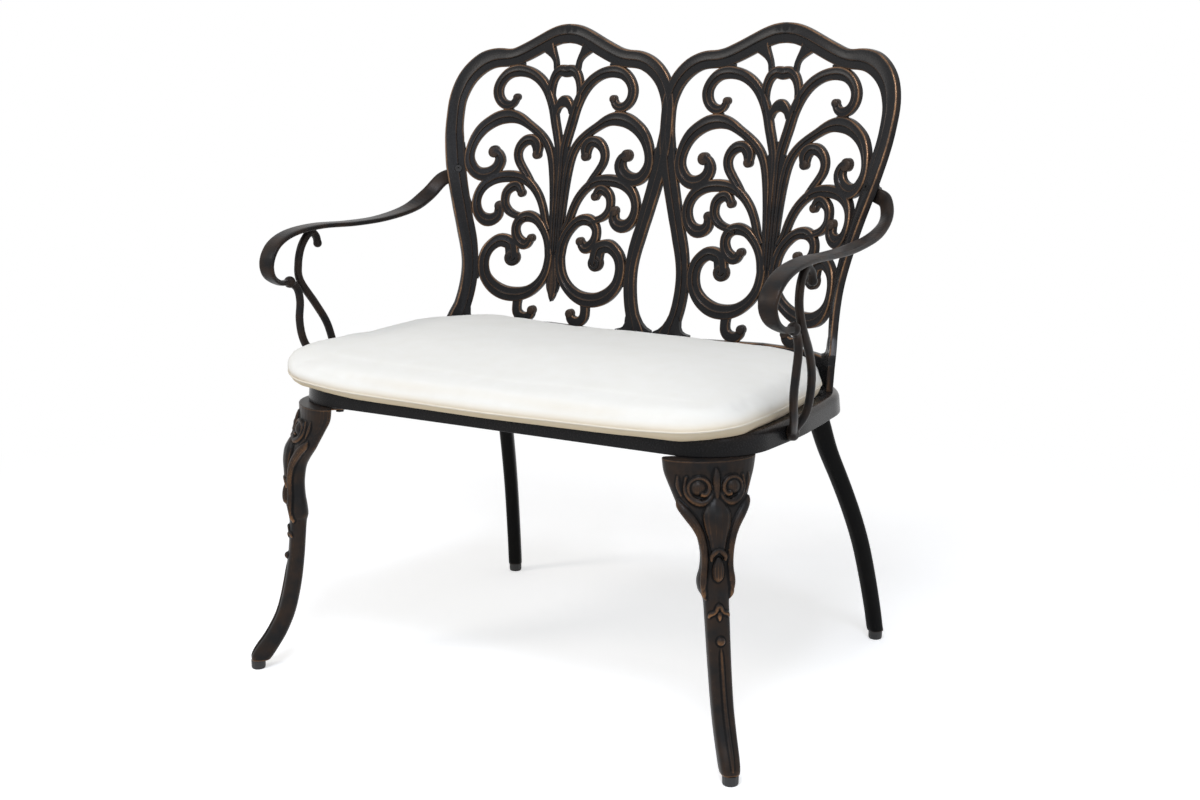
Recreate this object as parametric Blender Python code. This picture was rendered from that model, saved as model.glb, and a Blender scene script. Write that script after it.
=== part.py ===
"""Cast aluminium two-seat bench: scroll-work back, seat rim, arms, legs, glides, bolts and a loose pad.

Metres, +Z up. The bench faces -Y, and its left is -X. Lengths are modelled in the bench's own frame,
with y = 0 at the front edge of the seat rim; the empty named bench then centres the part on the floor.
"""
import math

import bmesh
import bpy
import numpy as np
from mathutils import Matrix, Vector
from mathutils.geometry import delaunay_2d_cdt

MM = 0.001
GAP = 0.0003                  # clearance between pieces that seat on each other

# Seat rim
SEAT_TOP = 0.407              # top of the rim above the floor
RIM_HEIGHT = 0.027
RIM_WIDTH = 0.022             # band of the rim in plan, at its foot
RIM_SHOULDER = 0.017          # height of the rim's face, below its rounded shoulder
RIM_LEAN = 0.0015             # how far that face leans in
RIM_DRAFT = 0.0095            # top edge inside the foot of the rim
FRONT_HALF_WIDTH = 0.350      # half width of the seat at its front corners, before they are rounded
SIDE_BULGE = 0.006            # bulge of the sides beyond the front corners
SIDE_BULGE_Y = 0.180
REAR_NARROWING = 0.017        # rear corners inside the front ones
SEAT_DEPTH = 0.4257
FRONT_CORNER_RADIUS = 0.090
SIDE_RADIUS = 0.400
REAR_CORNER_RADIUS = 0.135
DECK_THICKNESS = 0.006
DECK_BAR = 0.009              # width of a deck bar
DECK_CROSS_BARS = 11          # bars from front to back
DECK_LONG_BARS = 3            # bars from side to side
BOSS_RADIUS = 0.009

# Back casting
BACK_BEYOND = 0.010           # half length of the back's foot beyond the half width of the seat
BACK_BOLT_INSET = 0.025       # outer bolts inside the ends of the back's foot
BACK_RISE = 0.4918            # length of the back along its slope
BACK_TILT = math.radians(7.9)
BACK_SEAT_INSET = 0.014       # back's middle surface behind the rim's rear face
BACK_FRONT = 0.0060           # front face ahead of the middle surface
BACK_REAR = 0.0035
BEND_GROWTH = 0.500           # how much wider the corner bend is at the crown than at the seat
BEND_POWER = 2.8
OUTLINE_TOLERANCE = 0.0006    # most that a straight edge may leave the drawn curve
BEND_STEP = 0.014             # longest edge across the bend
SLIVER = 2e-9                 # twice the area of a triangle between points in line
SMALLEST_OPENING = 30e-6      # smaller openings of the scroll work are cast solid, in square metres

# Arms
ARM_HEIGHT = 0.6085           # middle of the arm band above the floor
ARM_THICKNESS = 0.0075
ARM_TAB_RISE = 0.0687         # screw in the arm's tab above the band
ARM_TAB_LEAN = math.radians(38)
ARM_BALL_RADIUS = 0.0085
STRUT_WIDTH = 0.0105
ARM_FOOT_RADIUS = 0.0105
ARM_FOOT_THICKNESS = 0.011
ARM_FOOT_SHOULDER = 0.007     # straight part of the foot
ARM_FOOT_Y = 0.140
ARM_FOOT_DROP = 0.0151        # bolt in the foot below the top of the rim

# Legs
FRONT_LEG_ANGLE = math.radians(34)    # place on the front corner, from straight ahead
FRONT_LEG_FACING = math.radians(45)
FRONT_LEG_SPLAY = 0.0860              # foot beyond the corner
REAR_LEG_ANGLE = math.radians(25.7)   # place on the rear corner, from straight behind
REAR_LEG_SPLAY = 0.1315
REAR_LEG_INSET = 0.0065               # leg's axis inside the rim's outer edge
FLANGE_THICKNESS = 0.007
FLANGE_REACH = 0.052                  # bolt flange inside the rim
FLANGE_HALF_WIDTH = 0.030
LEG_BOLT_SPACING = 0.034
FRONT_BOLT_INSET = 0.038              # leg's bolts inside its place on the rim
REAR_BOLT_INSET = 0.034

# Glides
GLIDE_RADIUS = 0.0100
GLIDE_HEIGHT = 0.0125
GLIDE_STEM_RADIUS = 0.0042
GLIDE_STEM = 0.012

# Fasteners
BOLT_RADIUS = 0.0030
BOLT_HEAD_RADIUS = 0.0058
BOLT_HEAD = 0.0040
BOLT_GRIP = 0.009             # thread in the boss, rail or foot
SCREW_RADIUS = 0.0030
SCREW_HEAD_RADIUS = 0.0056
SCREW_SINK = 0.0035           # depth of its countersink
NUT_RADIUS = 0.0056
NUT_HEIGHT = 0.0070

# Loose seat pad
PAD_FRONT_MARGIN = 0.0055     # pad's front corners beyond those of the rim
PAD_SIDE_MARGIN = 0.002       # pad's sides beyond the bulge of the rim
PAD_SIDE_Y = 0.120
PAD_REAR_MARGIN = 0.002       # pad beyond the rim's rear corner, where its chamfer starts
PAD_CHAMFER_X = 0.0563        # chamfer of the pad's rear corners, round the bend of the back
PAD_CHAMFER_Y = 0.0977
PAD_REAR_GAP = 0.016          # pad behind, to the face of the back
PAD_FRONT_RADIUS = 0.068
PAD_SIDE_RADIUS = 0.500
PAD_SHOULDER_RADIUS = 0.080
PAD_REAR_RADIUS = 0.075
PAD_OVERHANG = 0.020          # pad's front ahead of the rim
PAD_DROOP = 0.014             # front lip below the top of the rim
PAD_EDGE = 0.043              # height of the sewn edge
PAD_CROWN = 0.010
PAD_SHIFT_X = -0.004          # the pad lies a little to the left, more so in front
PAD_SHEAR = 0.0317

LEG_TOP = SEAT_TOP - RIM_HEIGHT
SIDE_HALF_WIDTH = FRONT_HALF_WIDTH + SIDE_BULGE
REAR_HALF_WIDTH = FRONT_HALF_WIDTH - REAR_NARROWING
SHIELD_PITCH = FRONT_HALF_WIDTH + BACK_BEYOND     # distance between the axes of the two shields

# The scroll pattern of half a shield, in millimetres: across from the shield's axis, up the slope, width.
# It is drawn 180 wide and from 411 to 903 high, and stretched to SHIELD_PITCH and BACK_RISE.
PATTERN_HALF = 180.0
PATTERN_FOOT = 411.2
PATTERN_CROWN = 903.0

FRAME = [(-15, 887, 28.5), (0, 888.5, 29), (15, 887, 28.5), (30, 882, 28), (45, 875, 27.5),
         (60, 867.5, 27.5), (75, 860.5, 27.5), (90, 854.5, 27), (105, 851.5, 26.5), (120, 850.5, 26.5),
         (133, 847.5, 26), (146, 841, 26), (158, 831, 25.5), (168, 818, 24.5), (175, 802, 23),
         (179, 785, 21.5), (180, 765, 20.5), (180, 745, 20.5), (178.5, 728, 21), (176, 710, 21),
         (173, 692, 21), (169, 675, 21), (164.5, 657, 20.5), (160, 640, 20), (155, 622, 20.3),
         (150, 606, 21), (145.5, 590, 21.5), (141, 573, 21), (138, 557, 20), (136.2, 541, 19.6),
         (135.9, 525, 19.8), (137, 508, 20.2), (139.8, 490, 20.3), (144, 474, 21), (149, 460, 26),
         (152, 446, 34)]
UPPER_SCROLL = [(5, 714, 12), (9.5, 735, 13), (15, 755, 13.2), (20, 775, 13.5), (27, 793, 14),
                (36, 808, 14.5), (47, 819.5, 15), (60, 827.5, 15.5), (73, 831.5, 16.5),
                (86, 832.5, 17.5), (99, 829.5, 16.5), (109, 822, 15), (115.5, 812, 14.5),
                (117.5, 802, 14.5), (115, 791.5, 14), (108, 783, 13.5), (99, 780, 13), (90.5, 783, 11),
                (85.3, 792, 9)]
UPPER_SCROLL_TIP = (85.3, 792.0, 5.6)
LOOP = [(-8, 833.5, 16), (0, 832, 17), (8, 833.5, 16), (16, 830, 14), (21.5, 822, 12), (24.5, 812, 11),
        (25.5, 802, 10.5), (24.5, 792, 9.5), (21, 781, 9)]
ARCH = [(-6, 784.5, 15), (0, 787.5, 18), (6, 784.5, 15), (11.5, 778, 11), (14, 769, 8)]
CROWN_STRUT = [(35, 868, 22), (29.5, 861, 15), (24, 853.5, 9.5), (20.5, 846, 7.2), (19, 837, 7.5),
               (17, 829, 8)]
BIG_SCROLL = [(10, 684, 10), (17, 704, 11), (25, 719, 12), (35, 731.5, 12), (48, 742, 12),
              (62, 751, 12.5), (74, 758, 15), (85, 761.8, 18), (97, 763, 20.5), (111, 760.5, 20.5),
              (125, 753.5, 19), (138, 743, 18), (147.5, 729, 16), (153, 713, 14.5), (154, 699, 15),
              (150, 687, 17), (142, 678, 17.5), (131, 674, 19), (118.5, 676.5, 19), (109, 684.5, 17.5),
              (105, 695, 16.5), (108, 704.5, 14), (115.5, 709, 14)]
BIG_SCROLL_TIP = (115.5, 709.0, 8.8)
MID_SCROLL = [(50, 661, 9), (59, 674, 10), (67.5, 685, 11), (74.5, 696.5, 11.5), (76.5, 708, 12),
              (72.5, 719, 13.5), (63, 727, 15.5), (52, 727.5, 16), (44.5, 719.5, 17), (43.8, 705.8, 12)]
MID_SCROLL_TIP = (43.8, 705.8, 6.8)
THIRD_SCROLL = [(14, 592, 9), (21, 605, 10.5), (25, 618, 11), (29.3, 630, 11), (36, 643, 11.5),
                (46, 655.5, 12), (58, 665, 13.5), (70, 670, 15.5), (85, 671.5, 17), (100, 670.5, 17),
                (113, 666.5, 16), (125, 659, 15.5), (133, 648, 14), (136.5, 635, 13.5),
                (135, 622, 14.5), (129, 611, 16), (119, 604.8, 18.5), (108.5, 606, 17.5),
                (101, 613.5, 15), (100.8, 626.5, 12)]
THIRD_SCROLL_TIP = (100.8, 626.5, 7.0)
SIDE_HOOK = [(55, 608, 8), (66, 611, 9.5), (76, 613.5, 10.5), (85, 619, 11.5), (91, 628, 11.5),
             (92.3, 638, 12), (90, 648, 13), (82, 655.5, 14.5), (73, 656.5, 14), (65.6, 646.6, 10.5)]
SIDE_HOOK_TIP = (65.6, 646.6, 6.2)
FOURTH_SCROLL = [(10, 552, 13), (12.5, 570, 13), (18, 585, 13), (27, 598, 13.5), (38, 607.5, 14.5),
                 (51, 611.3, 16.5), (62, 608.5, 15.5), (69.5, 600, 13), (71.3, 590, 12.7),
                 (68, 578.5, 14.5), (60.5, 570.5, 16.5), (52.5, 569, 15), (44.3, 578, 10.5)]
FOURTH_SCROLL_TIP = (44.3, 578.0, 6.2)
RING = [(9.5, 556, 13.5), (10.8, 542, 13.5), (14, 528, 14), (21, 515, 14.5), (31, 504.5, 15.5),
        (43, 496.5, 17.5), (56, 492, 19.5), (70, 491, 20.3), (82, 492.8, 20.5), (94, 498, 20),
        (105, 506.5, 18.5), (113.5, 518, 17), (117.5, 531, 16.5), (118, 545, 16.5), (114, 558, 17),
        (106, 567.5, 17.5), (96, 573.3, 19), (85.5, 572.5, 19.5), (77, 566.5, 19.5), (73.7, 547, 20)]
RING_VOLUTE = (73.7, 547.0, 13.0)
FOOT_HOOK = [(61, 486, 11.5), (62.3, 474, 11), (61, 464.5, 12), (55, 457, 13), (45.5, 454.5, 14.5),
             (34.6, 466.2, 11)]
FOOT_HOOK_TIP = (34.6, 466.2, 6.6)
TRUNK = [(0, 484, 0.6), (0, 491, 10), (0, 500, 18), (0, 508, 22), (0, 525, 24), (0, 560, 24),
         (0, 592, 23), (0, 620, 26), (0, 640, 30), (0, 660, 35), (0, 680, 40), (0, 700, 46),
         (0, 716, 44), (0, 727, 36)]
FOOT_FILLET = [(118, 441), (118, 452.4), (126, 454.2), (131, 457), (133.7, 462), (134, 470), (136, 478),
               (150, 482), (152.5, 480), (156.3, 472), (161.8, 464), (168.5, 458), (177, 454),
               (180, 441)]
RAIL_TOP = 452.0
OUTER_LIP = 6.0               # extra width of the frame's outer uprights, growing over the shoulder
LIP_START = 95.0
LIP_RUN = 45.0

# Stations of the right arm band after its tab: place, band width and how much the band lies flat, 0 to 1.
# The rear ones are placed from the screw in the tab, and the others, like the struts, by their distance
# out from the bulge of the seat's side, behind the seat's front edge and up from ARM_HEIGHT.
ARM_REAR_PATH = [((0.0305, -0.0028, -0.0187), 0.022, 0.05), ((0.0410, -0.0253, -0.0402), 0.023, 0.35),
                 ((0.0425, -0.0703, -0.0582), 0.025, 0.80)]
ARM_FRONT_PATH = [((0.0215, 0.260, 0.0013), 0.027, 1.0), ((0.0220, 0.190, 0.0000), 0.028, 1.0),
                  ((0.0255, 0.120, 0.0020), 0.028, 1.0), ((0.0275, 0.065, -0.0030), 0.027, 1.0),
                  ((0.0275, 0.030, -0.0165), 0.026, 1.0), ((0.0265, 0.0135, -0.0385), 0.025, 1.0),
                  ((0.0290, 0.020, -0.0590), 0.021, 1.0), ((0.0325, 0.043, -0.0713), 0.013, 1.0),
                  ((0.0346, 0.062, -0.0730), 0.011, 1.0)]
ARM_BALL = (0.0346, 0.0676, -0.0733)
REAR_STRUT = [(0.0310, 0.1255, -0.0235), (0.0310, 0.122, -0.0125), (0.0300, 0.108, -0.0065),
              (0.0312, 0.0915, -0.0235), (0.0329, 0.085, -0.0485), (0.0350, 0.090, -0.0735),
              (0.0326, 0.117, -0.1085), (0.0283, 0.136, -0.1385), (0.0235, 0.1435, -0.1685),
              (0.0170, 0.1445, -0.1935)]
REAR_STRUT_TIP_RADIUS = 0.0064
FRONT_STRUT = [ARM_BALL, (0.0330, 0.081, -0.0838), (0.0329, 0.086, -0.1035), (0.0322, 0.0826, -0.1285),
               (0.0292, 0.0842, -0.1535), (0.0250, 0.093, -0.1735), (0.0180, 0.110, -0.1935)]
STRUT_DROP = 0.2166           # from the arm band down to its foot, as the struts are drawn

# Front leg: height as a share of the leg, then in millimetres the place outward from the corner for a
# splay of DRAWN_SPLAY, half depth, half width, bow of the face and place along the rim
DRAWN_SPLAY = 86.0
FRONT_LEG = [(1.000, -1, 17.5, 58.5, 15, -0.5), (0.955, 0, 17, 56, 14, -1),
             (0.915, 4.5, 16.5, 50.5, 11, -2), (0.870, 10.5, 16, 44, 8, -3),
             (0.845, 13.5, 15.5, 40, 6, -3.5), (0.805, 19, 14.2, 29, 3, -3.8),
             (0.770, 22.5, 13, 22.5, 1, -3.8), (0.715, 24.5, 12.2, 18.5, 0, -3.6),
             (0.665, 24, 12, 19, 0, -3.4), (0.625, 23.5, 13.5, 22.5, 0, -3.2),
             (0.590, 23, 14, 21, 0, -2.6), (0.560, 23.5, 12, 16, 0, -1.6),
             (0.500, 25, 11.4, 15.3, 0, -0.4), (0.420, 28, 11.6, 14.8, 0, 0.6),
             (0.320, 34, 12.2, 14.2, 0, 1.4), (0.215, 44, 12.8, 13.7, 0, 1.8),
             (0.135, 58.5, 14.5, 13.4, 0, 1.5), (0.085, 71.5, 16, 13, 0, 0.8),
             (0.052, 79.5, 15.5, 12.5, 0, 0.2), (0.034, 82.5, 13, 11.5, 0, 0)]
# Ornament on its face: height share, side, stand-out from the leg's axis, radius (mm)
LEG_VOLUTES = [(0.910, -19, 9, 13.5), (0.910, 19, 9, 13.5)]
LEG_BEADS = [(0.715, 0, 12.6, 5.0), (0.648, 0, 12.5, 6.4), (0.427, 0, 11.6, 4.8)]

# Rear leg: height as a share of the leg, share of the splay, half depth and half width (mm)
REAR_LEG = [(1.00, 0.000, 17, 15), (0.95, 0.040, 16, 13.5), (0.89, 0.110, 15.2, 12),
            (0.79, 0.225, 14.4, 11.2), (0.66, 0.415, 13.6, 11), (0.53, 0.590, 13, 10.9),
            (0.40, 0.735, 12.4, 10.8), (0.26, 0.850, 11.9, 10.8), (0.13, 0.940, 11.4, 10.8),
            (0.05, 0.985, 11.2, 10.8), (0.034, 1.000, 10.9, 10.6)]

RING_POINTS = 14              # points round a cast bar
ROUND_POINTS = 12             # points round a bolt shank or hole


def clear_scene():
    for thing in list(bpy.data.objects):
        bpy.data.objects.remove(thing, do_unlink=True)


def make_material(name, colour, roughness, metallic):
    finish = bpy.data.materials.new(name)
    finish.use_nodes = True
    shader = finish.node_tree.nodes["Principled BSDF"]
    shader.inputs["Base Color"].default_value = (*colour, 1.0)
    shader.inputs["Roughness"].default_value = roughness
    shader.inputs["Metallic"].default_value = metallic
    return finish


def add_piece(name, mesh, finish, parent, smooth=True):
    piece = bpy.data.objects.new(name, mesh)
    bpy.context.scene.collection.objects.link(piece)
    piece.parent = parent
    mesh.materials.clear()
    mesh.materials.append(finish)
    if smooth:
        mesh.shade_smooth()
        mesh.set_sharp_from_angle(angle=math.radians(40))
    return piece


def to_mesh(shape, name):
    mesh = bpy.data.meshes.new(name)
    shape.to_mesh(mesh)
    shape.free()
    return mesh


def smooth_path(points, steps):
    """A Catmull-Rom curve through points of any dimension, with a number of steps for each span."""
    rows = [Vector(p) for p in points]
    rows = [2 * rows[0] - rows[1]] + rows + [2 * rows[-1] - rows[-2]]
    path = []
    for a, b, c, d in zip(rows, rows[1:], rows[2:], rows[3:]):
        for k in range(steps):
            t = k / steps
            path.append(0.5 * (2 * b + (c - a) * t + (2 * a - 5 * b + 4 * c - d) * t * t
                               + (3 * b - a - 3 * c + d) * t ** 3))
    path.append(rows[-2])
    return path


def loft(rings, closed=False):
    """A solid skin over rings of equal length: capped at its ends, or closed round on itself."""
    shape = bmesh.new()
    rows = [[shape.verts.new(p) for p in ring] for ring in rings]
    pairs = list(zip(rows, rows[1:]))
    if closed:
        pairs.append((rows[-1], rows[0]))
    for low, high in pairs:
        for k in range(len(low)):
            n = (k + 1) % len(low)
            shape.faces.new((low[k], low[n], high[n], high[k]))
    if not closed:
        shape.faces.new(list(reversed(rows[0])))
        shape.faces.new(rows[-1])
    bmesh.ops.recalc_face_normals(shape, faces=shape.faces)
    return shape


def bar_ring(centre, across, thick, half_width, half_thick, points=RING_POINTS, squareness=0.62):
    """A rounded-box section: across and thick are its two unit directions."""
    ring = []
    for k in range(points):
        turn = 2 * math.pi * (k + 0.5) / points
        c, s = math.cos(turn), math.sin(turn)
        p = math.copysign(abs(c) ** squareness, c) * half_width
        q = math.copysign(abs(s) ** squareness, s) * half_thick
        ring.append(centre + across * p + thick * q)
    return ring


def turned(profile, points=ROUND_POINTS):
    """A solid turned about +Z from (radius, height) pairs that run from its bottom to its top."""
    rings = []
    for radius, height in profile:
        turns = [2 * math.pi * k / points for k in range(points)]
        rings.append([Vector((radius * math.cos(t), radius * math.sin(t), height)) for t in turns])
    return loft(rings)


def ball(centre, radius, stretch=(1, 1, 1), segments=10, rings=6):
    shape = bmesh.new()
    place = Matrix.Translation(centre) @ Matrix.Diagonal((*stretch, 1))
    bmesh.ops.create_uvsphere(shape, u_segments=segments, v_segments=rings, radius=radius, matrix=place)
    return shape


def aim(direction, centre):
    """A matrix that carries +Z to a direction and the origin to a centre."""
    return Matrix.Translation(centre) @ Vector(direction).to_track_quat("Z", "Y").to_matrix().to_4x4()


def cut_and_join(name, base, joins=(), cuts=()):
    """Booleans on bmesh solids: joins are fused to the base, then the cuts are taken out of it."""
    piece = bpy.data.objects.new(name, to_mesh(base, name))
    bpy.context.scene.collection.objects.link(piece)
    tools = []
    for operation, shapes in (("UNION", joins), ("DIFFERENCE", cuts)):
        for shape in shapes:
            tool = bpy.data.objects.new(name + "_tool", to_mesh(shape, name + "_tool"))
            bpy.context.scene.collection.objects.link(tool)
            step = piece.modifiers.new(operation.lower(), "BOOLEAN")
            step.operation = operation
            step.solver = "EXACT"
            step.object = tool
            tools.append(tool)
    view = bpy.context.evaluated_depsgraph_get()
    mesh = bpy.data.meshes.new_from_object(piece.evaluated_get(view))
    for thing in [piece] + tools:
        bpy.data.objects.remove(thing, do_unlink=True)
    return mesh


def mirrored(mesh, name):
    """A copy of a right-hand mesh for the left side."""
    shape = bmesh.new()
    shape.from_mesh(mesh)
    bmesh.ops.scale(shape, vec=(-1, 1, 1), verts=shape.verts)
    bmesh.ops.reverse_faces(shape, faces=shape.faces)
    return to_mesh(shape, name)


# Seat outline

def fillet_corner(before, corner, after, radius):
    """Centre and end angles of the arc that rounds one corner of an outline."""
    into = (before - corner).normalized()
    out = (after - corner).normalized()
    half = into.angle(out) / 2
    centre = corner + (into + out).normalized() * (radius / math.sin(half))
    start = corner + into * (radius / math.tan(half)) - centre
    end = corner + out * (radius / math.tan(half)) - centre
    return centre, math.atan2(start.y, start.x), math.atan2(end.y, end.x)


def rounded_corners(front, rear, corners):
    """Arcs of the right-hand corners of an outline: centre, start and end angle, radius."""
    spots = [Vector((0, front))] + [Vector((x, y)) for x, y, radius in corners] + [Vector((0, rear))]
    return [(*fillet_corner(*spots[k:k + 3], corners[k][2]), corners[k][2]) for k in range(len(corners))]


def closed_outline(front, rear, corners, steps, straight):
    """Points and outward normals of a mirrored outline, from the middle of its front and anticlockwise."""
    half = []
    for (centre, start, end, radius), count in zip(rounded_corners(front, rear, corners), steps):
        for k in range(count + 1):
            turn = start + (end - start) * k / count
            normal = Vector((math.cos(turn), math.sin(turn)))
            half.append((centre + normal * radius, normal))
    ahead, behind = Vector((0, -1)), Vector((0, 1))
    near = [(Vector((half[0][0].x * k / straight, front)), ahead) for k in range(1, straight)]
    far = [(Vector((half[-1][0].x * (1 - k / straight), rear)), behind) for k in range(1, straight)]
    right = near + half + far
    left = [(Vector((-p.x, p.y)), Vector((-n.x, n.y))) for p, n in reversed(right)]
    return [(Vector((0, front)), ahead)] + right + [(Vector((0, rear)), behind)] + left


SEAT_CORNERS = ((FRONT_HALF_WIDTH, 0.0, FRONT_CORNER_RADIUS), (SIDE_HALF_WIDTH, SIDE_BULGE_Y, SIDE_RADIUS),
                (REAR_HALF_WIDTH, SEAT_DEPTH, REAR_CORNER_RADIUS))


def seat_outline():
    return closed_outline(0.0, SEAT_DEPTH, SEAT_CORNERS, (8, 3, 10), 3)


def rim_side_x(y):
    """Half width of the rim's foot at a depth along its side."""
    rows = sorted((abs(p.y - y), p.x) for p, n in seat_outline() if p.x > REAR_HALF_WIDTH * 0.9)
    (near, x0), (far, x1) = rows[0], rows[1]
    return x0 + (x1 - x0) * near / (near + far)


def rim_face_x(y, z):
    """Half width of the rim's leaning face at a depth and height."""
    return rim_side_x(y) - RIM_LEAN * (z - LEG_TOP) / RIM_SHOULDER


FRONT_CORNER, _, REAR_CORNER = [arc[0] for arc in rounded_corners(0.0, SEAT_DEPTH, SEAT_CORNERS)]
FRONT_FACING = Vector((math.sin(FRONT_LEG_FACING), -math.cos(FRONT_LEG_FACING), 0))
FRONT_ACROSS = Vector((math.cos(FRONT_LEG_FACING), math.sin(FRONT_LEG_FACING), 0))
FRONT_LEG_TOP = Vector((FRONT_CORNER.x + FRONT_CORNER_RADIUS * math.sin(FRONT_LEG_ANGLE),
                        FRONT_CORNER.y - FRONT_CORNER_RADIUS * math.cos(FRONT_LEG_ANGLE), 0))
REAR_FACING = Vector((math.sin(REAR_LEG_ANGLE), math.cos(REAR_LEG_ANGLE), 0))
REAR_ACROSS = Vector((math.cos(REAR_LEG_ANGLE), -math.sin(REAR_LEG_ANGLE), 0))
REAR_LEG_TOP = Vector((*REAR_CORNER, 0)) + REAR_FACING * (REAR_CORNER_RADIUS - REAR_LEG_INSET)
FRONT_LEG_FRAME = (FRONT_LEG_TOP, FRONT_FACING, FRONT_ACROSS)
REAR_LEG_FRAME = (REAR_LEG_TOP, REAR_FACING, REAR_ACROSS)


def leg_bolt_places():
    """Bolt points under the right-hand legs: pairs inside the rim, square to each leg's facing."""
    places = []
    insets = FRONT_BOLT_INSET, REAR_BOLT_INSET
    for (top, facing, across), inset in zip((FRONT_LEG_FRAME, REAR_LEG_FRAME), insets):
        middle = top - facing * inset
        places.append([middle + across * (LEG_BOLT_SPACING / 2 * side) for side in (-1, 1)])
    return places


# Back casting

def back_foot():
    """Slope length from the floor to the back's foot, and the depth of its surface at the floor."""
    foot = (SEAT_TOP + GAP) / math.cos(BACK_TILT)
    return foot, SEAT_DEPTH - BACK_SEAT_INSET - foot * math.sin(BACK_TILT)


def back_point(across, slope, depth):
    """A point of the back: across from the bench's middle, up the slope, behind its middle surface."""
    foot, floor_y = back_foot()
    flat = REAR_CORNER.x
    rise = max(slope - foot, 0.0) / BACK_RISE
    radius = REAR_CORNER_RADIUS - BACK_SEAT_INSET + BEND_GROWTH * rise ** BEND_POWER
    turn = max(abs(across) - flat, 0.0) / radius
    side = math.copysign(1.0, across)
    x = side * (min(abs(across), flat) + (radius + depth) * math.sin(turn))
    y = floor_y + slope * math.sin(BACK_TILT) - radius + (radius + depth) * math.cos(turn)
    return Vector((x, y, slope * math.cos(BACK_TILT)))


def pattern_place(a, v):
    """Pattern millimetres to metres from a shield's axis and up the slope."""
    foot = back_foot()[0]
    return (a * SHIELD_PITCH / 2 / PATTERN_HALF,
            foot + (v - PATTERN_FOOT) * BACK_RISE / (PATTERN_CROWN - PATTERN_FOOT))


def stroke_quads(stroke, steps, lip=0.0):
    """A stroke of varying width as a chain of quads; a lip widens its left side past the shoulder."""
    path = smooth_path(stroke, steps)
    edges = []
    for k, spot in enumerate(path):
        ahead = path[min(k + 1, len(path) - 1)] - path[max(k - 1, 0)]
        normal = Vector((-ahead.y, ahead.x)).normalized()
        wider = lip * min(max((spot.x - LIP_START) / LIP_RUN, 0.0), 1.0)
        edges.append((spot.xy + normal * (spot.z / 2 + wider), spot.xy - normal * (spot.z / 2)))
    return [(a[1], b[1], b[0], a[0]) for a, b in zip(edges, edges[1:])]


def disc(tip, points=16):
    x, y, radius = tip
    turns = [2 * math.pi * k / points for k in range(points)]
    return tuple(Vector((x + radius * math.cos(t), y + radius * math.sin(t))) for t in turns)


def half_shield_polygons(outer):
    """Every stroke of half a shield as convex polygons in the pattern; the outer half's frame has a lip."""
    shapes = stroke_quads(FRAME, 2, OUTER_LIP if outer else 0.0)
    for stroke, steps in ((UPPER_SCROLL, 2), (LOOP, 2), (ARCH, 2), (CROWN_STRUT, 2), (BIG_SCROLL, 2),
                          (MID_SCROLL, 3), (THIRD_SCROLL, 2), (SIDE_HOOK, 3), (FOURTH_SCROLL, 2), (RING, 2),
                          (FOOT_HOOK, 3), (TRUNK, 1)):
        shapes += stroke_quads(stroke, steps)
    for tip in (UPPER_SCROLL_TIP, BIG_SCROLL_TIP, MID_SCROLL_TIP, THIRD_SCROLL_TIP, SIDE_HOOK_TIP,
                FOURTH_SCROLL_TIP, FOOT_HOOK_TIP):
        shapes.append(disc(tip, 12))
    shapes.append(disc(RING_VOLUTE, 18))
    edge = PATTERN_HALF + 1
    rail = [(0, PATTERN_FOOT), (edge, PATTERN_FOOT), (edge, RAIL_TOP - 6), (0, RAIL_TOP)]
    shapes.append(tuple(Vector(p) for p in rail))
    middle = Vector((145, 446))
    fillet = [Vector(p) for p in FOOT_FILLET]
    shapes += [(middle, a, b) for a, b in zip(fillet, fillet[1:])]
    return shapes


def triangle_middles(spots, triangles):
    return np.array([sum((spots[k] for k in t), Vector((0, 0))) / len(t) for t in triangles])


def within(middles, polygon):
    """Which points lie inside a polygon, by counting the edges to their right."""
    crossed = np.zeros(len(middles), bool)
    for a, b in zip(polygon, polygon[1:] + polygon[:1]):
        if a.y != b.y:
            level = (middles[:, 1] > a.y) != (middles[:, 1] > b.y)
            crossed ^= level & (middles[:, 0] < a.x + (middles[:, 1] - a.y) * (b.x - a.x) / (b.y - a.y))
    return crossed


def triangulated(polygons, nearness):
    """Triangles between the edges of polygons: their points, corners and the input points behind each."""
    points, edges = [], []
    for polygon in polygons:
        first, count = len(points), len(polygon)
        points += [p.copy() for p in polygon]
        edges += [(first + k, first + (k + 1) % count) for k in range(count)]
    spots, _, triangles, origins, _, _ = delaunay_2d_cdt(points, edges, [], 0, nearness)
    return spots, triangles, origins


def union_outline(polygons):
    """The outline loops of overlapping polygons."""
    spots, triangles, _ = triangulated(polygons, 1e-6)
    middles = triangle_middles(spots, triangles)
    covered = np.zeros(len(triangles), bool)
    for polygon in polygons:
        covered |= within(middles, polygon)
    inside = [t for t, keep in zip(triangles, covered) if keep]
    following = {}
    used = {(t[k], t[(k + 1) % len(t)]) for t in inside for k in range(len(t))}
    for a, b in used:
        if (b, a) not in used:
            following.setdefault(a, []).append(b)
    loops = []
    while following:
        start = next(iter(following))
        loop, spot = [], start
        while spot in following:
            loop.append(spots[spot])
            ahead = following[spot].pop()
            if not following[spot]:
                del following[spot]
            spot = ahead
        loops.append(loop)
    return loops


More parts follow.
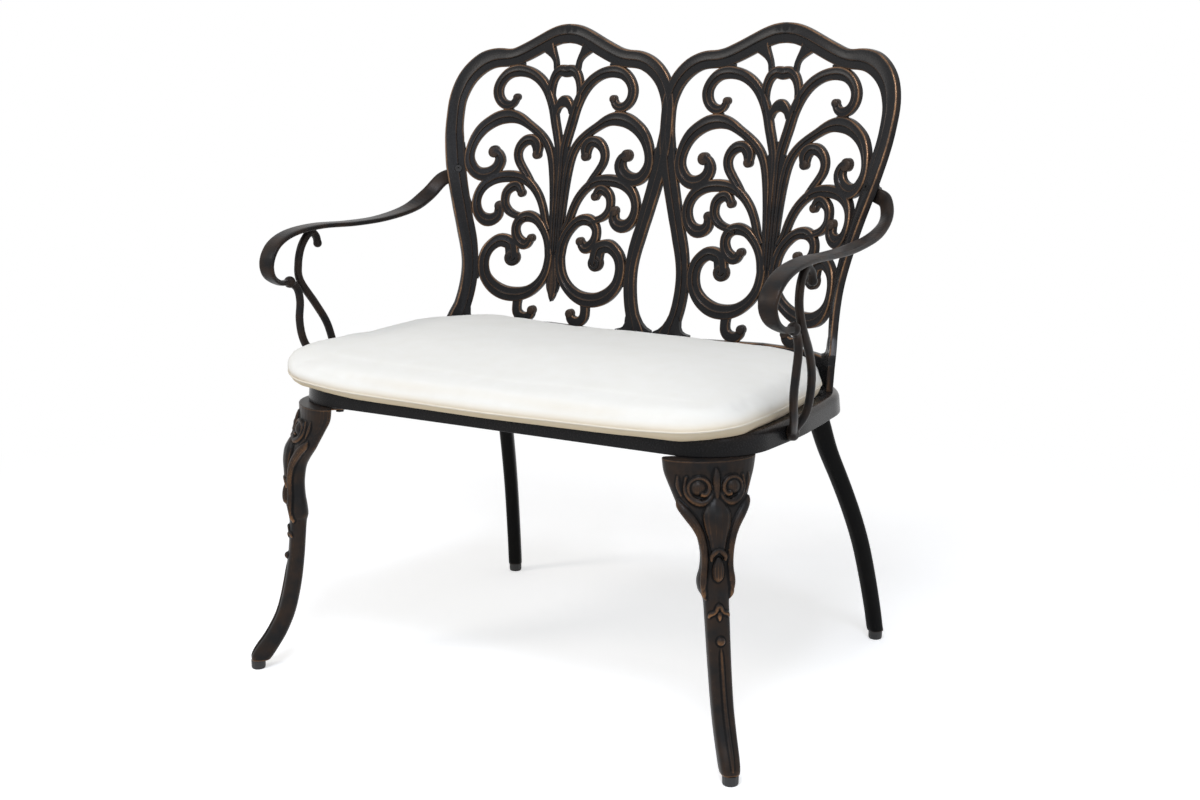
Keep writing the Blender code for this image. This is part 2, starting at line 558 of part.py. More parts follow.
def thinned(loop, tolerance):
    """Douglas-Peucker on a closed loop, split at its two far ends."""
    def reduce(chain):
        first, last = chain[0], chain[-1]
        along = (last - first).normalized() if (last - first).length > 1e-9 else Vector((1, 0))
        offsets = [abs((p - first).cross(along)) for p in chain]
        worst = max(range(len(chain)), key=offsets.__getitem__)
        if offsets[worst] <= tolerance or len(chain) < 3:
            return [first, last]
        return reduce(chain[:worst + 1])[:-1] + reduce(chain[worst:])
    far = max(range(len(loop)), key=lambda k: (loop[k] - loop[0]).length)
    return reduce(loop[:far + 1])[:-1] + reduce(loop[far:] + loop[:1])[:-1]


def bend_ready(loop):
    """A loop with more points on its long edges where the back bends, so that they follow the bend."""
    dense = []
    for a, b in zip(loop, loop[1:] + loop[:1]):
        bent = max(abs(a.x), abs(b.x)) > REAR_CORNER.x
        count = max(1, math.ceil(abs(b.x - a.x) / BEND_STEP)) if bent else 1
        dense += [a.lerp(b, k / count) for k in range(count)]
    return dense


def loop_area(loop):
    return sum(a.cross(b) for a, b in zip(loop, loop[1:] + loop[:1])) / 2


def filled(loops):
    """Triangles between outline loops, as indices into the loops' points in order.

    A sliver between points in line is kept only where it turns with its loop, inside the outline.
    """
    spots, triangles, origins = triangulated(loops, 1e-9)
    middles = triangle_middles(spots, triangles)
    solid = np.zeros(len(triangles), bool)
    for loop in loops:
        solid ^= within(middles, loop)
    kept = []
    for triangle, keep in zip(triangles, solid):
        a, b, c = (spots[k] for k in triangle)
        ids = [origins[k][0] for k in triangle]
        if (b - a).cross(c - a) < SLIVER:
            first = ids.index(min(ids))
            keep = ids[(first + 1) % 3] < ids[(first + 2) % 3]
        if keep:
            kept.append(ids)
    return kept


def back_plate():
    """The whole back as one plate, bent round the seat's rear corners."""
    polygons = []
    for outer in (False, True):
        for polygon in half_shield_polygons(outer):
            flat = [Vector(pattern_place(*p)) for p in polygon]
            for shield in (-1, 1):
                side = shield if outer else -shield
                polygons.append(tuple(Vector((shield * SHIELD_PITCH / 2 + side * p.x, p.y)) for p in flat))
    loops = [thinned(loop, OUTLINE_TOLERANCE) for loop in union_outline(polygons)]
    loops = [loop for loop in loops if len(loop) > 2 and abs(loop_area(loop)) > SMALLEST_OPENING]
    loops = [bend_ready(loop) for loop in loops]
    shape = bmesh.new()
    rows = []
    for depth in (-BACK_FRONT, BACK_REAR):
        rows.append([[shape.verts.new(back_point(p.x, p.y, depth)) for p in loop] for loop in loops])
    for near, far in zip(*rows):
        for k in range(len(near)):
            n = (k + 1) % len(near)
            shape.faces.new((near[k], near[n], far[n], far[k]))
    front_spots = [v for loop in rows[0] for v in loop]
    rear_spots = [v for loop in rows[1] for v in loop]
    for triangle in filled(loops):
        shape.faces.new([front_spots[k] for k in triangle])
        shape.faces.new([rear_spots[k] for k in reversed(triangle)])
    bmesh.ops.recalc_face_normals(shape, faces=shape.faces)
    return shape


def screw_spot():
    """Pattern place of the arm screw: in the middle of the upright, at the height of the arm's tab."""
    slope = (ARM_HEIGHT + ARM_TAB_RISE) / math.cos(BACK_TILT)
    up = PATTERN_FOOT + (slope - back_foot()[0]) * (PATTERN_CROWN - PATTERN_FOOT) / BACK_RISE
    upright = [spot[:2] for spot in reversed(FRAME)]
    (x0, low), (x1, high) = [pair for pair in zip(upright, upright[1:]) if pair[0][1] <= up][-1]
    return x0 + (x1 - x0) * (up - low) / (high - low), up


def screw_frame():
    """Place and backward direction of the right-hand arm screw at the front face of the upright."""
    across, slope = pattern_place(*screw_spot())
    across += SHIELD_PITCH / 2
    front = back_point(across, slope, -BACK_FRONT)
    sideways = back_point(across + MM, slope, -BACK_FRONT) - back_point(across - MM, slope, -BACK_FRONT)
    upwards = back_point(across, slope + MM, -BACK_FRONT) - back_point(across, slope - MM, -BACK_FRONT)
    return front, upwards.cross(sideways).normalized()


def back_bolt_places():
    """Bolt points along the back's foot: one under each half of a shield."""
    inner, outer = SHIELD_PITCH / 4, SHIELD_PITCH - BACK_BOLT_INSET
    foot = back_foot()[0]
    middle = (BACK_REAR - BACK_FRONT) / 2
    return [back_point(across, foot, middle) for across in (-outer, -inner, inner, outer)]


def build_back(finish, parent):
    cuts = []
    front, rearward = screw_frame()
    for side in (-1, 1):
        place = Vector((side * front.x, front.y, front.z))
        aim_to = Vector((side * rearward.x, rearward.y, rearward.z))
        sink = turned([(SCREW_HEAD_RADIUS + GAP + 0.001, -0.001), (SCREW_HEAD_RADIUS + GAP, 0),
                       (SCREW_RADIUS + GAP, SCREW_SINK), (SCREW_RADIUS + GAP, 0.020)])
        sink.transform(aim(aim_to, place))
        cuts.append(sink)
    for place in back_bolt_places():
        hole = turned([(BOLT_RADIUS + GAP, -0.005), (BOLT_RADIUS + GAP, BOLT_GRIP + 0.001)], 8)
        hole.transform(Matrix.Translation(place))
        cuts.append(hole)
    add_piece("back_panel", cut_and_join("back_panel", back_plate(), cuts=cuts), finish, parent)


# Seat casting

def build_seat(finish, parent):
    outline = seat_outline()
    section = ((0, 0.0), (-RIM_LEAN, RIM_SHOULDER), (-RIM_DRAFT, RIM_HEIGHT), (-RIM_WIDTH, RIM_HEIGHT),
               (-RIM_WIDTH + 0.002, 0.002), (-RIM_WIDTH + 0.004, 0.0))
    rings = [[Vector((*(p + n * out), LEG_TOP + up)) for out, up in section] for p, n in outline]
    rim = loft(rings, closed=True)
    joins = []
    low, high = SEAT_TOP - DECK_THICKNESS - 0.0012, SEAT_TOP - 0.0012
    reach = RIM_WIDTH * 0.55
    for k in range(DECK_LONG_BARS):
        y = SEAT_DEPTH * (k + 1) / (DECK_LONG_BARS + 1)
        half = rim_side_x(min(y, SEAT_DEPTH * 0.62)) - reach
        if y > SEAT_DEPTH * 0.62:
            turn = math.asin(min((y - REAR_CORNER.y) / REAR_CORNER_RADIUS, 1.0))
            half = REAR_CORNER.x + REAR_CORNER_RADIUS * math.cos(turn) - reach
        joins.append(box((-half, y - DECK_BAR / 2, low), (half, y + DECK_BAR / 2, high)))
    span = 2 * FRONT_HALF_WIDTH / (DECK_CROSS_BARS + 1)
    for k in range(DECK_CROSS_BARS):
        x = -FRONT_HALF_WIDTH + span * (k + 1)
        corner = max(abs(x) - FRONT_CORNER.x, 0.0)
        near = FRONT_CORNER.y - math.sqrt(FRONT_CORNER_RADIUS ** 2 - corner ** 2) + reach
        bend = max(abs(x) - REAR_CORNER.x, 0.0)
        far = REAR_CORNER.y + math.sqrt(REAR_CORNER_RADIUS ** 2 - bend ** 2) - reach
        joins.append(box((x - DECK_BAR / 2, near, low + 0.0008), (x + DECK_BAR / 2, far, high - 0.0008)))
    for side in (-1, 1):
        for corner in FRONT_LEG_FRAME, REAR_LEG_FRAME:
            joins.append(leg_flange(*corner, side, high - 0.0004, DECK_THICKNESS))
    cuts = []
    for pair in leg_bolt_places():
        for spot in pair:
            for side in (-1, 1):
                place = Vector((side * spot.x, spot.y, 0))
                boss = turned([(BOSS_RADIUS, LEG_TOP), (BOSS_RADIUS, high - 0.0016)])
                boss.transform(Matrix.Translation(place))
                joins.append(boss)
                hole = turned([(BOLT_RADIUS + GAP, -0.005), (BOLT_RADIUS + GAP, BOLT_GRIP + 0.001)], 8)
                hole.transform(Matrix.Translation(place + Vector((0, 0, LEG_TOP))))
                cuts.append(hole)
    for place in back_bolt_places():
        hole = turned([(BOLT_RADIUS + GAP, LEG_TOP - 0.005), (BOLT_RADIUS + GAP, SEAT_TOP + 0.005)], 8)
        hole.transform(Matrix.Translation((place.x, place.y, 0)))
        cuts.append(hole)
    foot = arm_foot_place()
    for side in (-1, 1):
        hole = turned([(BOLT_RADIUS + GAP, -0.005), (BOLT_RADIUS + GAP, RIM_WIDTH + 0.020)], 8)
        hole.transform(aim((-side, 0, 0), (side * foot.x, foot.y, foot.z)))
        cuts.append(hole)
    add_piece("seat_frame", cut_and_join("seat_frame", rim, joins, cuts), finish, parent)


def box(low, high):
    shape = bmesh.new()
    middle = [(a + b) / 2 for a, b in zip(low, high)]
    size = [b - a for a, b in zip(low, high)]
    bmesh.ops.create_cube(shape, size=1, matrix=Matrix.Translation(middle) @ Matrix.Diagonal((*size, 1)))
    return shape


# Arms

def arm_foot_place():
    """Middle of the right arm foot's seat on the rim's leaning face."""
    z = SEAT_TOP - ARM_FOOT_DROP
    return Vector((rim_face_x(ARM_FOOT_Y, z) + GAP, ARM_FOOT_Y, z))


def arm_point(out, depth, up):
    return Vector((SIDE_HALF_WIDTH + out, depth, ARM_HEIGHT + up))


def arm_stations():
    """Middle, width and width direction along the right arm band, from its tab behind the upright."""
    front, rearward = screw_frame()
    middle = front + rearward * (BACK_FRONT + BACK_REAR + 2 * GAP + ARM_THICKNESS / 2)
    along = Vector((rearward.y, -rearward.x, 0)).normalized()
    up = rearward.cross(along)
    if up.z < 0:
        up = -up
    heading = along * math.cos(ARM_TAB_LEAN) - up * math.sin(ARM_TAB_LEAN)
    tab_across = along * math.sin(ARM_TAB_LEAN) + up * math.cos(ARM_TAB_LEAN)
    tab = ((-0.013, 0.018), (0, 0.021), (0.011, 0.021))      # place along the tab, and its width
    rows = [(middle + heading * step, width, tab_across) for step, width in tab]
    rear = [(front + Vector(place), width, flat) for place, width, flat in ARM_REAR_PATH]
    ahead = [(arm_point(*place), width, flat) for place, width, flat in ARM_FRONT_PATH]
    for place, width, flat in rear + ahead:
        across = (tab_across * (1 - flat) + Vector((1, 0, 0)) * flat).normalized()
        rows.append((place, width, across))
    return rows


def arm_band():
    path = smooth_path([(*p, w, *d) for p, w, d in arm_stations()], 2)
    rings = []
    for k, spot in enumerate(path):
        ahead = Vector(path[min(k + 1, len(path) - 1)][:3]) - Vector(path[max(k - 1, 0)][:3])
        ahead.normalize()
        across = Vector(spot[4:7])
        across = (across - ahead * across.dot(ahead)).normalized()
        thick = ahead.cross(across)
        rings.append(bar_ring(Vector(spot[:3]), across, thick, spot[3] / 2, ARM_THICKNESS / 2, 8, 0.5))
    return loft(rings)


def strut(points, end):
    """A round cast bar in the plane of the arm, from its first point down to its end at the arm's foot."""
    first = points[0][2]
    stretch = (ARM_HEIGHT + first - end.z) / (STRUT_DROP + first)
    rows = [arm_point(out, depth, first + (up - first) * stretch) for out, depth, up in points] + [end]
    path = smooth_path(rows, 2)
    rings = []
    for k, spot in enumerate(path):
        ahead = (path[min(k + 1, len(path) - 1)] - path[max(k - 1, 0)]).normalized()
        side = Vector((1, 0, 0))
        side = (side - ahead * side.dot(ahead)).normalized()
        rings.append(bar_ring(spot, side, ahead.cross(side), STRUT_WIDTH * 0.45, STRUT_WIDTH * 0.5, 6, 0.9))
    return loft(rings)


def build_arms(finish, parent):
    foot = arm_foot_place()
    lean = Vector((RIM_SHOULDER, 0, RIM_LEAN)).normalized()
    pad = turned([(ARM_FOOT_RADIUS, 0), (ARM_FOOT_RADIUS, ARM_FOOT_SHOULDER),
                  (ARM_FOOT_RADIUS * 0.7, ARM_FOOT_THICKNESS)])
    pad.transform(aim(lean, foot))
    end = foot + lean * (ARM_FOOT_THICKNESS / 2)
    joins = [strut(REAR_STRUT, end + Vector((0, 0.001, 0.002))),
             strut(FRONT_STRUT, end - Vector((0, 0.002, -0.001))), pad,
             ball(arm_point(*ARM_BALL), ARM_BALL_RADIUS),
             ball(arm_point(*REAR_STRUT[0]), REAR_STRUT_TIP_RADIUS)]
    front, rearward = screw_frame()
    screw_hole = turned([(SCREW_RADIUS + GAP, -0.005), (SCREW_RADIUS + GAP, 0.035)])
    screw_hole.transform(aim(rearward, front))
    bolt_hole = turned([(BOLT_RADIUS + GAP, -0.005), (BOLT_RADIUS + GAP, ARM_FOOT_SHOULDER + GAP)], 8)
    bolt_hole.transform(aim((1, 0, 0), foot))
    right = cut_and_join("right_arm", arm_band(), joins, [screw_hole, bolt_hole])
    left = mirrored(right, "left_arm")
    add_piece("right_arm", right, finish, parent)
    add_piece("left_arm", left, finish, parent)


# Legs

def splayed(outward):
    """Drawn millimetres outward from the front corner to metres."""
    return outward / DRAWN_SPLAY * FRONT_LEG_SPLAY


def front_leg_ring(row, top):
    share, outward, depth, width, bow, along = row
    centre = FRONT_LEG_TOP + FRONT_FACING * splayed(outward) + FRONT_ACROSS * (along * MM)
    centre.z = share * top
    right, ahead = Vector((1, 0, 0)), Vector((0, 1, 0))
    ring = bar_ring(Vector((0, 0, 0)), right, ahead, width * MM, depth * MM, 14, 0.72)
    bent = []
    for p in ring:
        recede = bow * MM * (p.x / (width * MM)) ** 2
        bent.append(centre + FRONT_ACROSS * p.x + FRONT_FACING * (p.y - recede))
    return bent


def leg_axis(share):
    """Middle of the front leg at a share of its height, on the floor."""
    rows = FRONT_LEG
    for low, high in zip(rows[1:], rows):
        if low[0] <= share <= high[0]:
            t = (share - low[0]) / (high[0] - low[0])
            outward, along = [low[k] + (high[k] - low[k]) * t for k in (1, 5)]
            return FRONT_LEG_TOP + FRONT_FACING * splayed(outward) + FRONT_ACROSS * (along * MM)
    return FRONT_LEG_TOP + FRONT_FACING * splayed(rows[-1][1])


def leg_flange(top, facing, across, side, high, thickness):
    """A plate that reaches in from under the rim at a leg, for the right (1) or left (-1) leg."""
    length = FLANGE_REACH - RIM_WIDTH * 0.7
    middle = top - facing * (FLANGE_REACH - length / 2)
    shape = bmesh.new()
    turn = Matrix((across, -facing, Vector((0, 0, 1)))).transposed().to_4x4()
    size = (FLANGE_HALF_WIDTH * 2, length, thickness)
    place = Matrix.Translation(middle + Vector((0, 0, high - thickness / 2)))
    mirror = Matrix.Diagonal((side, 1, 1, 1))
    bmesh.ops.create_cube(shape, size=1, matrix=mirror @ place @ turn @ Matrix.Diagonal((*size, 1)))
    bmesh.ops.recalc_face_normals(shape, faces=shape.faces)
    return shape


def leg_holes(pair, foot, high):
    holes = []
    for spot in pair:
        hole = turned([(BOLT_RADIUS + GAP, high - 0.030), (BOLT_RADIUS + GAP, high + 0.005)], 8)
        hole.transform(Matrix.Translation((spot.x, spot.y, 0)))
        holes.append(hole)
    bore = GLIDE_STEM_RADIUS + GAP
    socket = turned([(bore, 0), (bore, GLIDE_HEIGHT + GLIDE_STEM + 2 * GAP)], 10)
    socket.transform(Matrix.Translation(foot))
    holes.append(socket)
    return holes


def front_foot():
    return FRONT_LEG_TOP + FRONT_FACING * FRONT_LEG_SPLAY


def rear_foot():
    return REAR_LEG_TOP + REAR_FACING * REAR_LEG_SPLAY


def build_legs(finish, parent):
    high = LEG_TOP - GAP
    front_bolts, rear_bolts = leg_bolt_places()
    sole = GLIDE_HEIGHT + GAP
    rings = [front_leg_ring(row, high) for row in FRONT_LEG]
    rings[-1] = [Vector((p.x, p.y, sole)) for p in rings[-1]]
    joins = [leg_flange(*FRONT_LEG_FRAME, 1, high, FLANGE_THICKNESS)]
    for share, side, out, radius in LEG_VOLUTES:
        volute = turned([(radius * MM, -0.004), (radius * MM, 0.0065), (radius * MM * 0.55, 0.0105)])
        centre = leg_axis(share) + FRONT_FACING * (out * MM) + FRONT_ACROSS * (side * MM)
        outward = FRONT_FACING + FRONT_ACROSS * (side * 0.012)
        volute.transform(aim(outward, centre + Vector((0, 0, share * high))))
        joins.append(volute)
    for share, side, out, radius in LEG_BEADS:
        centre = leg_axis(share) + FRONT_FACING * (out * MM) + FRONT_ACROSS * (side * MM)
        joins.append(ball(centre + Vector((0, 0, share * high)), radius * MM, segments=8, rings=6))
    right = cut_and_join("front_right_leg", loft(rings), joins, leg_holes(front_bolts, front_foot(), high))
    left = mirrored(right, "front_left_leg")
    add_piece("front_right_leg", right, finish, parent)
    add_piece("front_left_leg", left, finish, parent)
    rings = []
    for share, splay, depth, width in REAR_LEG:
        z = max(share * high, sole)
        centre = REAR_LEG_TOP + REAR_FACING * (splay * REAR_LEG_SPLAY) + Vector((0, 0, z))
        rings.append(bar_ring(centre, REAR_ACROSS, REAR_FACING, width * MM, depth * MM, 12, 0.75))
    joins = [leg_flange(*REAR_LEG_FRAME, 1, high, FLANGE_THICKNESS)]
    right = cut_and_join("rear_right_leg", loft(rings), joins, leg_holes(rear_bolts, rear_foot(), high))
    left = mirrored(right, "rear_left_leg")
    add_piece("rear_right_leg", right, finish, parent)
    add_piece("rear_left_leg", left, finish, parent)


# Glides and fasteners

def build_glides(finish, parent):
    profile = [(GLIDE_RADIUS * 0.86, 0), (GLIDE_RADIUS * 0.97, 0.0012), (GLIDE_RADIUS, 0.003),
               (GLIDE_RADIUS * 1.02, GLIDE_HEIGHT), (GLIDE_STEM_RADIUS, GLIDE_HEIGHT),
               (GLIDE_STEM_RADIUS, GLIDE_HEIGHT + GLIDE_STEM)]
    mesh = to_mesh(turned(profile, 14), "foot_glide")
    for end, foot in (("front", front_foot()), ("rear", rear_foot())):
        for name, side in (("left", -1), ("right", 1)):
            glide = add_piece(f"{end}_{name}_glide", mesh, finish, parent)
            glide.location = (side * foot.x, foot.y, 0)


def hex_bolt(length):
    """A hex-head bolt along +Z: the head lies below z = 0 and the shank above it."""
    shape = turned([(BOLT_HEAD_RADIUS, -BOLT_HEAD), (BOLT_HEAD_RADIUS, 0)], 6)
    shank = turned([(BOLT_RADIUS, -0.001), (BOLT_RADIUS, length)], 8)
    return cut_and_join("hex_bolt", shape, [shank])


def build_bolts(finish, parent):
    leg_mesh = hex_bolt(FLANGE_THICKNESS + GAP + BOLT_GRIP)
    under = LEG_TOP - GAP - FLANGE_THICKNESS - GAP
    for end, pair in zip(("front", "rear"), leg_bolt_places()):
        for name, side in (("left", -1), ("right", 1)):
            for letter, spot in zip("ab", pair):
                bolt = add_piece(f"{end}_{name}_leg_bolt_{letter}", leg_mesh, finish, parent, smooth=False)
                bolt.location = (side * spot.x, spot.y, under)
    back_mesh = hex_bolt(RIM_HEIGHT + 2 * GAP + BOLT_GRIP)
    for number, place in enumerate(back_bolt_places(), 1):
        bolt = add_piece(f"back_bolt_{number}", back_mesh, finish, parent, smooth=False)
        bolt.location = (place.x, place.y, LEG_TOP - GAP)
    foot = arm_foot_place()
    inner = rim_side_x(ARM_FOOT_Y) - RIM_WIDTH - GAP
    arm_mesh = hex_bolt(foot.x - inner + ARM_FOOT_SHOULDER - 0.001)
    for name, side in (("left", -1), ("right", 1)):
        bolt = add_piece(f"{name}_arm_bolt", arm_mesh, finish, parent, smooth=False)
        bolt.location = (side * inner, foot.y, foot.z)
        bolt.rotation_euler = Vector((side, 0, 0)).to_track_quat("Z", "Y").to_euler()


def build_screws(finish, parent):
    front, rearward = screw_frame()
    reach = BACK_FRONT + BACK_REAR + 3 * GAP + ARM_THICKNESS
    profile = [(SCREW_HEAD_RADIUS, GAP), (SCREW_RADIUS, SCREW_SINK - 0.0002),
               (SCREW_RADIUS, reach + NUT_HEIGHT * 0.6)]
    screw = to_mesh(turned(profile, 12), "arm_screw")
    bore = turned([(SCREW_RADIUS + GAP, -0.001), (SCREW_RADIUS + GAP, NUT_HEIGHT * 0.6 + 2 * GAP)])
    dome = turned([(NUT_RADIUS, 0), (NUT_RADIUS, NUT_HEIGHT * 0.6), (NUT_RADIUS * 0.72, NUT_HEIGHT * 0.88),
                   (NUT_RADIUS * 0.3, NUT_HEIGHT)], 10)
    nut = cut_and_join("dome_nut", dome, cuts=[bore])
    for name, side in (("left", -1), ("right", 1)):
        place = Vector((side * front.x, front.y, front.z))
        turn = Vector((side * rearward.x, rearward.y, rearward.z))
        for label, mesh, offset in (("arm_screw", screw, 0.0), ("arm_nut", nut, reach)):
            piece = add_piece(f"{name}_{label}", mesh, finish, parent)
            piece.location = place + turn * offset
            piece.rotation_euler = turn.to_track_quat("Z", "Y").to_euler()


# Loose seat pad

def build_pad(finish, parent):
    """The pad: flat under, a drawn-in sewn edge, a lip that droops over the rim, a low crown."""
    base = SEAT_TOP + GAP
    rear = SEAT_DEPTH - BACK_SEAT_INSET - BACK_FRONT - PAD_REAR_GAP
    shoulder = REAR_HALF_WIDTH + PAD_REAR_MARGIN
    corners = ((FRONT_HALF_WIDTH + PAD_FRONT_MARGIN, -PAD_OVERHANG, PAD_FRONT_RADIUS),
               (SIDE_HALF_WIDTH + PAD_SIDE_MARGIN, PAD_SIDE_Y, PAD_SIDE_RADIUS),
               (shoulder, rear - PAD_CHAMFER_Y, PAD_SHOULDER_RADIUS),
               (shoulder - PAD_CHAMFER_X, rear, PAD_REAR_RADIUS))
    outline = closed_outline(-PAD_OVERHANG, rear, corners, (7, 3, 4, 4), 5)
    middle = Vector((0, (rear - PAD_OVERHANG) / 2, base))
    loops = []
    # inset from the sewn edge, height, and how far the front lip pulls that height down
    section = ((0.056, 0.0, 0.0), (0.025, 0.0, 0.0), (0.0165, 0.0012, 0.8), (0.010, 0.003, 1.0),
               (0.004, 0.009, 0.9), (0.0, PAD_EDGE * 0.55, 0.7), (0.001, PAD_EDGE * 0.78, 0.6),
               (0.006, PAD_EDGE * 0.95, 0.45), (0.020, PAD_EDGE + 0.003, 0.25),
               (0.038, PAD_EDGE + PAD_CROWN * 0.6, 0.0), (0.058, PAD_EDGE + PAD_CROWN * 0.9, 0.0))
    for inset, up, droop in section:
        loop = []
        for p, n in outline:
            front = max(0.0, -n.y) ** 2 * max(0.0, 1 - (abs(p.x) / FRONT_HALF_WIDTH) ** 6)
            waist = 0.0035 * math.sin(math.pi * min(abs(p.x) / FRONT_CORNER.x, 1.0)) ** 2 * abs(n.y)
            spot = p - n * (inset + waist)
            spot.x += PAD_SHEAR * (p.y - middle.y)
            loop.append(Vector((spot.x, spot.y, base + up - PAD_DROOP * front * droop)) - middle)
        loops.append(loop)
    pad = add_piece("cushion", to_mesh(loft(loops), "cushion"), finish, parent)
    pad.location = middle + Vector((PAD_SHIFT_X, 0, 0))


def centre_on_floor(root):
    """Moves the whole bench so that its box stands on the origin."""
    bpy.context.view_layer.update()
    depths = [(piece.matrix_world @ v.co).y for piece in root.children for v in piece.data.vertices]
    root.location.y = -(min(depths) + max(depths)) / 2


def main():
    clear_scene()
    bronze = make_material("antique bronze on cast aluminium", (0.020, 0.016, 0.013), 0.42, 0.6)
    plastic = make_material("black plastic", (0.010, 0.010, 0.010), 0.55, 0.0)
    steel = make_material("blackened steel", (0.030, 0.028, 0.026), 0.45, 0.9)
    canvas = make_material("cream canvas", (0.80, 0.77, 0.70), 0.90, 0.0)
    root = bpy.data.objects.new("bench", None)
    bpy.context.scene.collection.objects.link(root)
    build_back(bronze, root)
    build_seat(bronze, root)
    build_arms(bronze, root)
    build_legs(bronze, root)
    build_glides(plastic, root)
    build_bolts(steel, root)
    build_screws(steel, root)
    build_pad(canvas, root)
    centre_on_floor(root)


main()
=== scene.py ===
# %% [markdown]
# # A cast aluminium bench with a scroll-work back
# The real bench is bolted together from a few sand castings: a pierced back, a seat rim, two arms and four
# legs. They are painted a near-black bronze, and the high edges are rubbed back to a copper colour. A loose
# canvas pad lies on the seat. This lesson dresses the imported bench, which gives every piece its place, with
# smooth castings, mouldings and finishes.

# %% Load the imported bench
import math

import bpy
import numpy as np
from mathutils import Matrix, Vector, noise


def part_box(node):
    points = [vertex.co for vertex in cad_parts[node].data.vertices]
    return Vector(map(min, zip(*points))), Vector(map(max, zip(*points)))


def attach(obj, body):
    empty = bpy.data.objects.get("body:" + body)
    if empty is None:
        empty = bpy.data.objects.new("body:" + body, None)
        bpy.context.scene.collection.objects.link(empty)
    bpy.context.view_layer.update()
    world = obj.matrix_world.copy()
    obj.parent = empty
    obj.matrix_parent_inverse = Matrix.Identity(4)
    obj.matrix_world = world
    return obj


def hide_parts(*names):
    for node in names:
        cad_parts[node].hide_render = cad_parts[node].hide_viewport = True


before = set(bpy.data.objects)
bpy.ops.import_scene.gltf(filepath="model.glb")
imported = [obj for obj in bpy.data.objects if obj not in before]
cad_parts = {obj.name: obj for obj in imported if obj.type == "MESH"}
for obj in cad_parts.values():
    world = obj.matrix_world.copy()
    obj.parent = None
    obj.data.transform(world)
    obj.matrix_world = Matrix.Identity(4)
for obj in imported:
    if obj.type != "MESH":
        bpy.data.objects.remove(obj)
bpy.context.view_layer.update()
MM = 0.001
FRONT_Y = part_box("seat_frame")[0].y     # the castings are drawn from the front edge of the seat rim
SEAT_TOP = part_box("seat_frame")[1].z
LEG_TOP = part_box("seat_frame")[0].z

# %% [markdown]
# ## The camera
# The photograph looks down a little on the bench from its front right. A lens of about 50 mm at some two
# metres gives the same gentle perspective, so the camera comes first and every shape can be compared.

# %% Camera
CAMERA_PLACE = (1.2311, FRONT_Y - 1.7456, 0.8621)
CAMERA_TURN = (math.radians(78.265), 0.0, math.radians(31.43))
bpy.ops.object.camera_add(location=CAMERA_PLACE, rotation=CAMERA_TURN)
camera = bpy.context.object
camera.data.lens = 51.17
camera.data.sensor_width = 36.0
bpy.context.scene.camera = camera
print("camera at", [round(v, 3) for v in camera.location])

# %% [markdown]
# ## Floor and light
# A cut-out product picture has a white ground. The floor and the sky are white to the camera and to
# reflections, through the Light Path node, which leaves the light on the bench alone. Near the bench the
# floor still takes the soft shadow under the feet, and farther out it fades to plain white, so no horizon
# shows. Four soft boxes light the bench from the front, where a photographer would stand them.

# %% Colours and nodes


def linear(hex_colour):
    """An sRGB colour such as "#c8a070" as linear red, green, blue and alpha."""
    parts = [int(hex_colour[k:k + 2], 16) / 255 for k in (1, 3, 5)]
    return (*[c / 12.92 if c <= 0.04045 else ((c + 0.055) / 1.055) ** 2.4 for c in parts], 1.0)


def add_node(tree, kind, inputs=None, **settings):
    """A node with its settings; each input is a value or another node's output."""
    made = tree.nodes.new(kind)
    for key, value in settings.items():
        setattr(made, key, value)
    for key, value in (inputs or {}).items():
        if isinstance(value, bpy.types.NodeSocket):
            tree.links.new(value, made.inputs[key])
        else:
            made.inputs[key].default_value = value
    return made


def ranged(tree, value, least, most, start=0.0, end=1.0, **settings):
    """A value that runs from start to end, mapped to run from least to most."""
    return add_node(tree, "ShaderNodeMapRange", {"Value": value, "From Min": start, "From Max": end,
                                                 "To Min": least, "To Max": most}, **settings).outputs[0]


def joined(tree, operation, first, second):
    """Two values joined by a Math node."""
    return add_node(tree, "ShaderNodeMath", {0: first, 1: second}, operation=operation).outputs[0]


def mixed(tree, share, first, second):
    """Two colours mixed, with a share of the second."""
    mix = add_node(tree, "ShaderNodeMix", {"Factor": share, 6: first, 7: second}, data_type="RGBA")
    return mix.outputs[2]


def speckle(tree, scale, detail):
    """A noise through a piece; its patches are about one over the scale wide, in metres."""
    spot = add_node(tree, "ShaderNodeTexCoord").outputs["Object"]
    cloud = add_node(tree, "ShaderNodeTexNoise", {"Vector": spot, "Scale": scale, "Detail": detail})
    return cloud.outputs["Fac"]


def attribute(tree, name):
    """A value that a piece carries at each point."""
    return add_node(tree, "ShaderNodeAttribute", attribute_name=name).outputs["Fac"]


def new_material(name):
    """A new material, its node tree and its shader."""
    finish = bpy.data.materials.new(name)
    finish.use_nodes = True
    return finish, finish.node_tree, finish.node_tree.nodes["Principled BSDF"]


# %% Sky
SKY_LIGHT = 0.36             # the sky's light on the bench; to the camera and in reflections it is white
WHITE = (1, 1, 1, 1)
scene = bpy.context.scene
scene.view_settings.view_transform = "Standard"
sky = bpy.data.worlds.new("studio sky")
scene.world = sky
sky.use_nodes = True
tree = sky.node_tree
path = add_node(tree, "ShaderNodeLightPath")
shown = joined(tree, "MAXIMUM", path.outputs["Is Camera Ray"], path.outputs["Is Transmission Ray"])
shown = joined(tree, "MAXIMUM", shown, path.outputs["Is Glossy Ray"])
sky_light = tree.nodes["Background"]
sky_light.inputs["Color"].default_value = WHITE
tree.links.new(ranged(tree, shown, SKY_LIGHT, 1.0), sky_light.inputs["Strength"])
print("the sky gives", SKY_LIGHT, "of white")

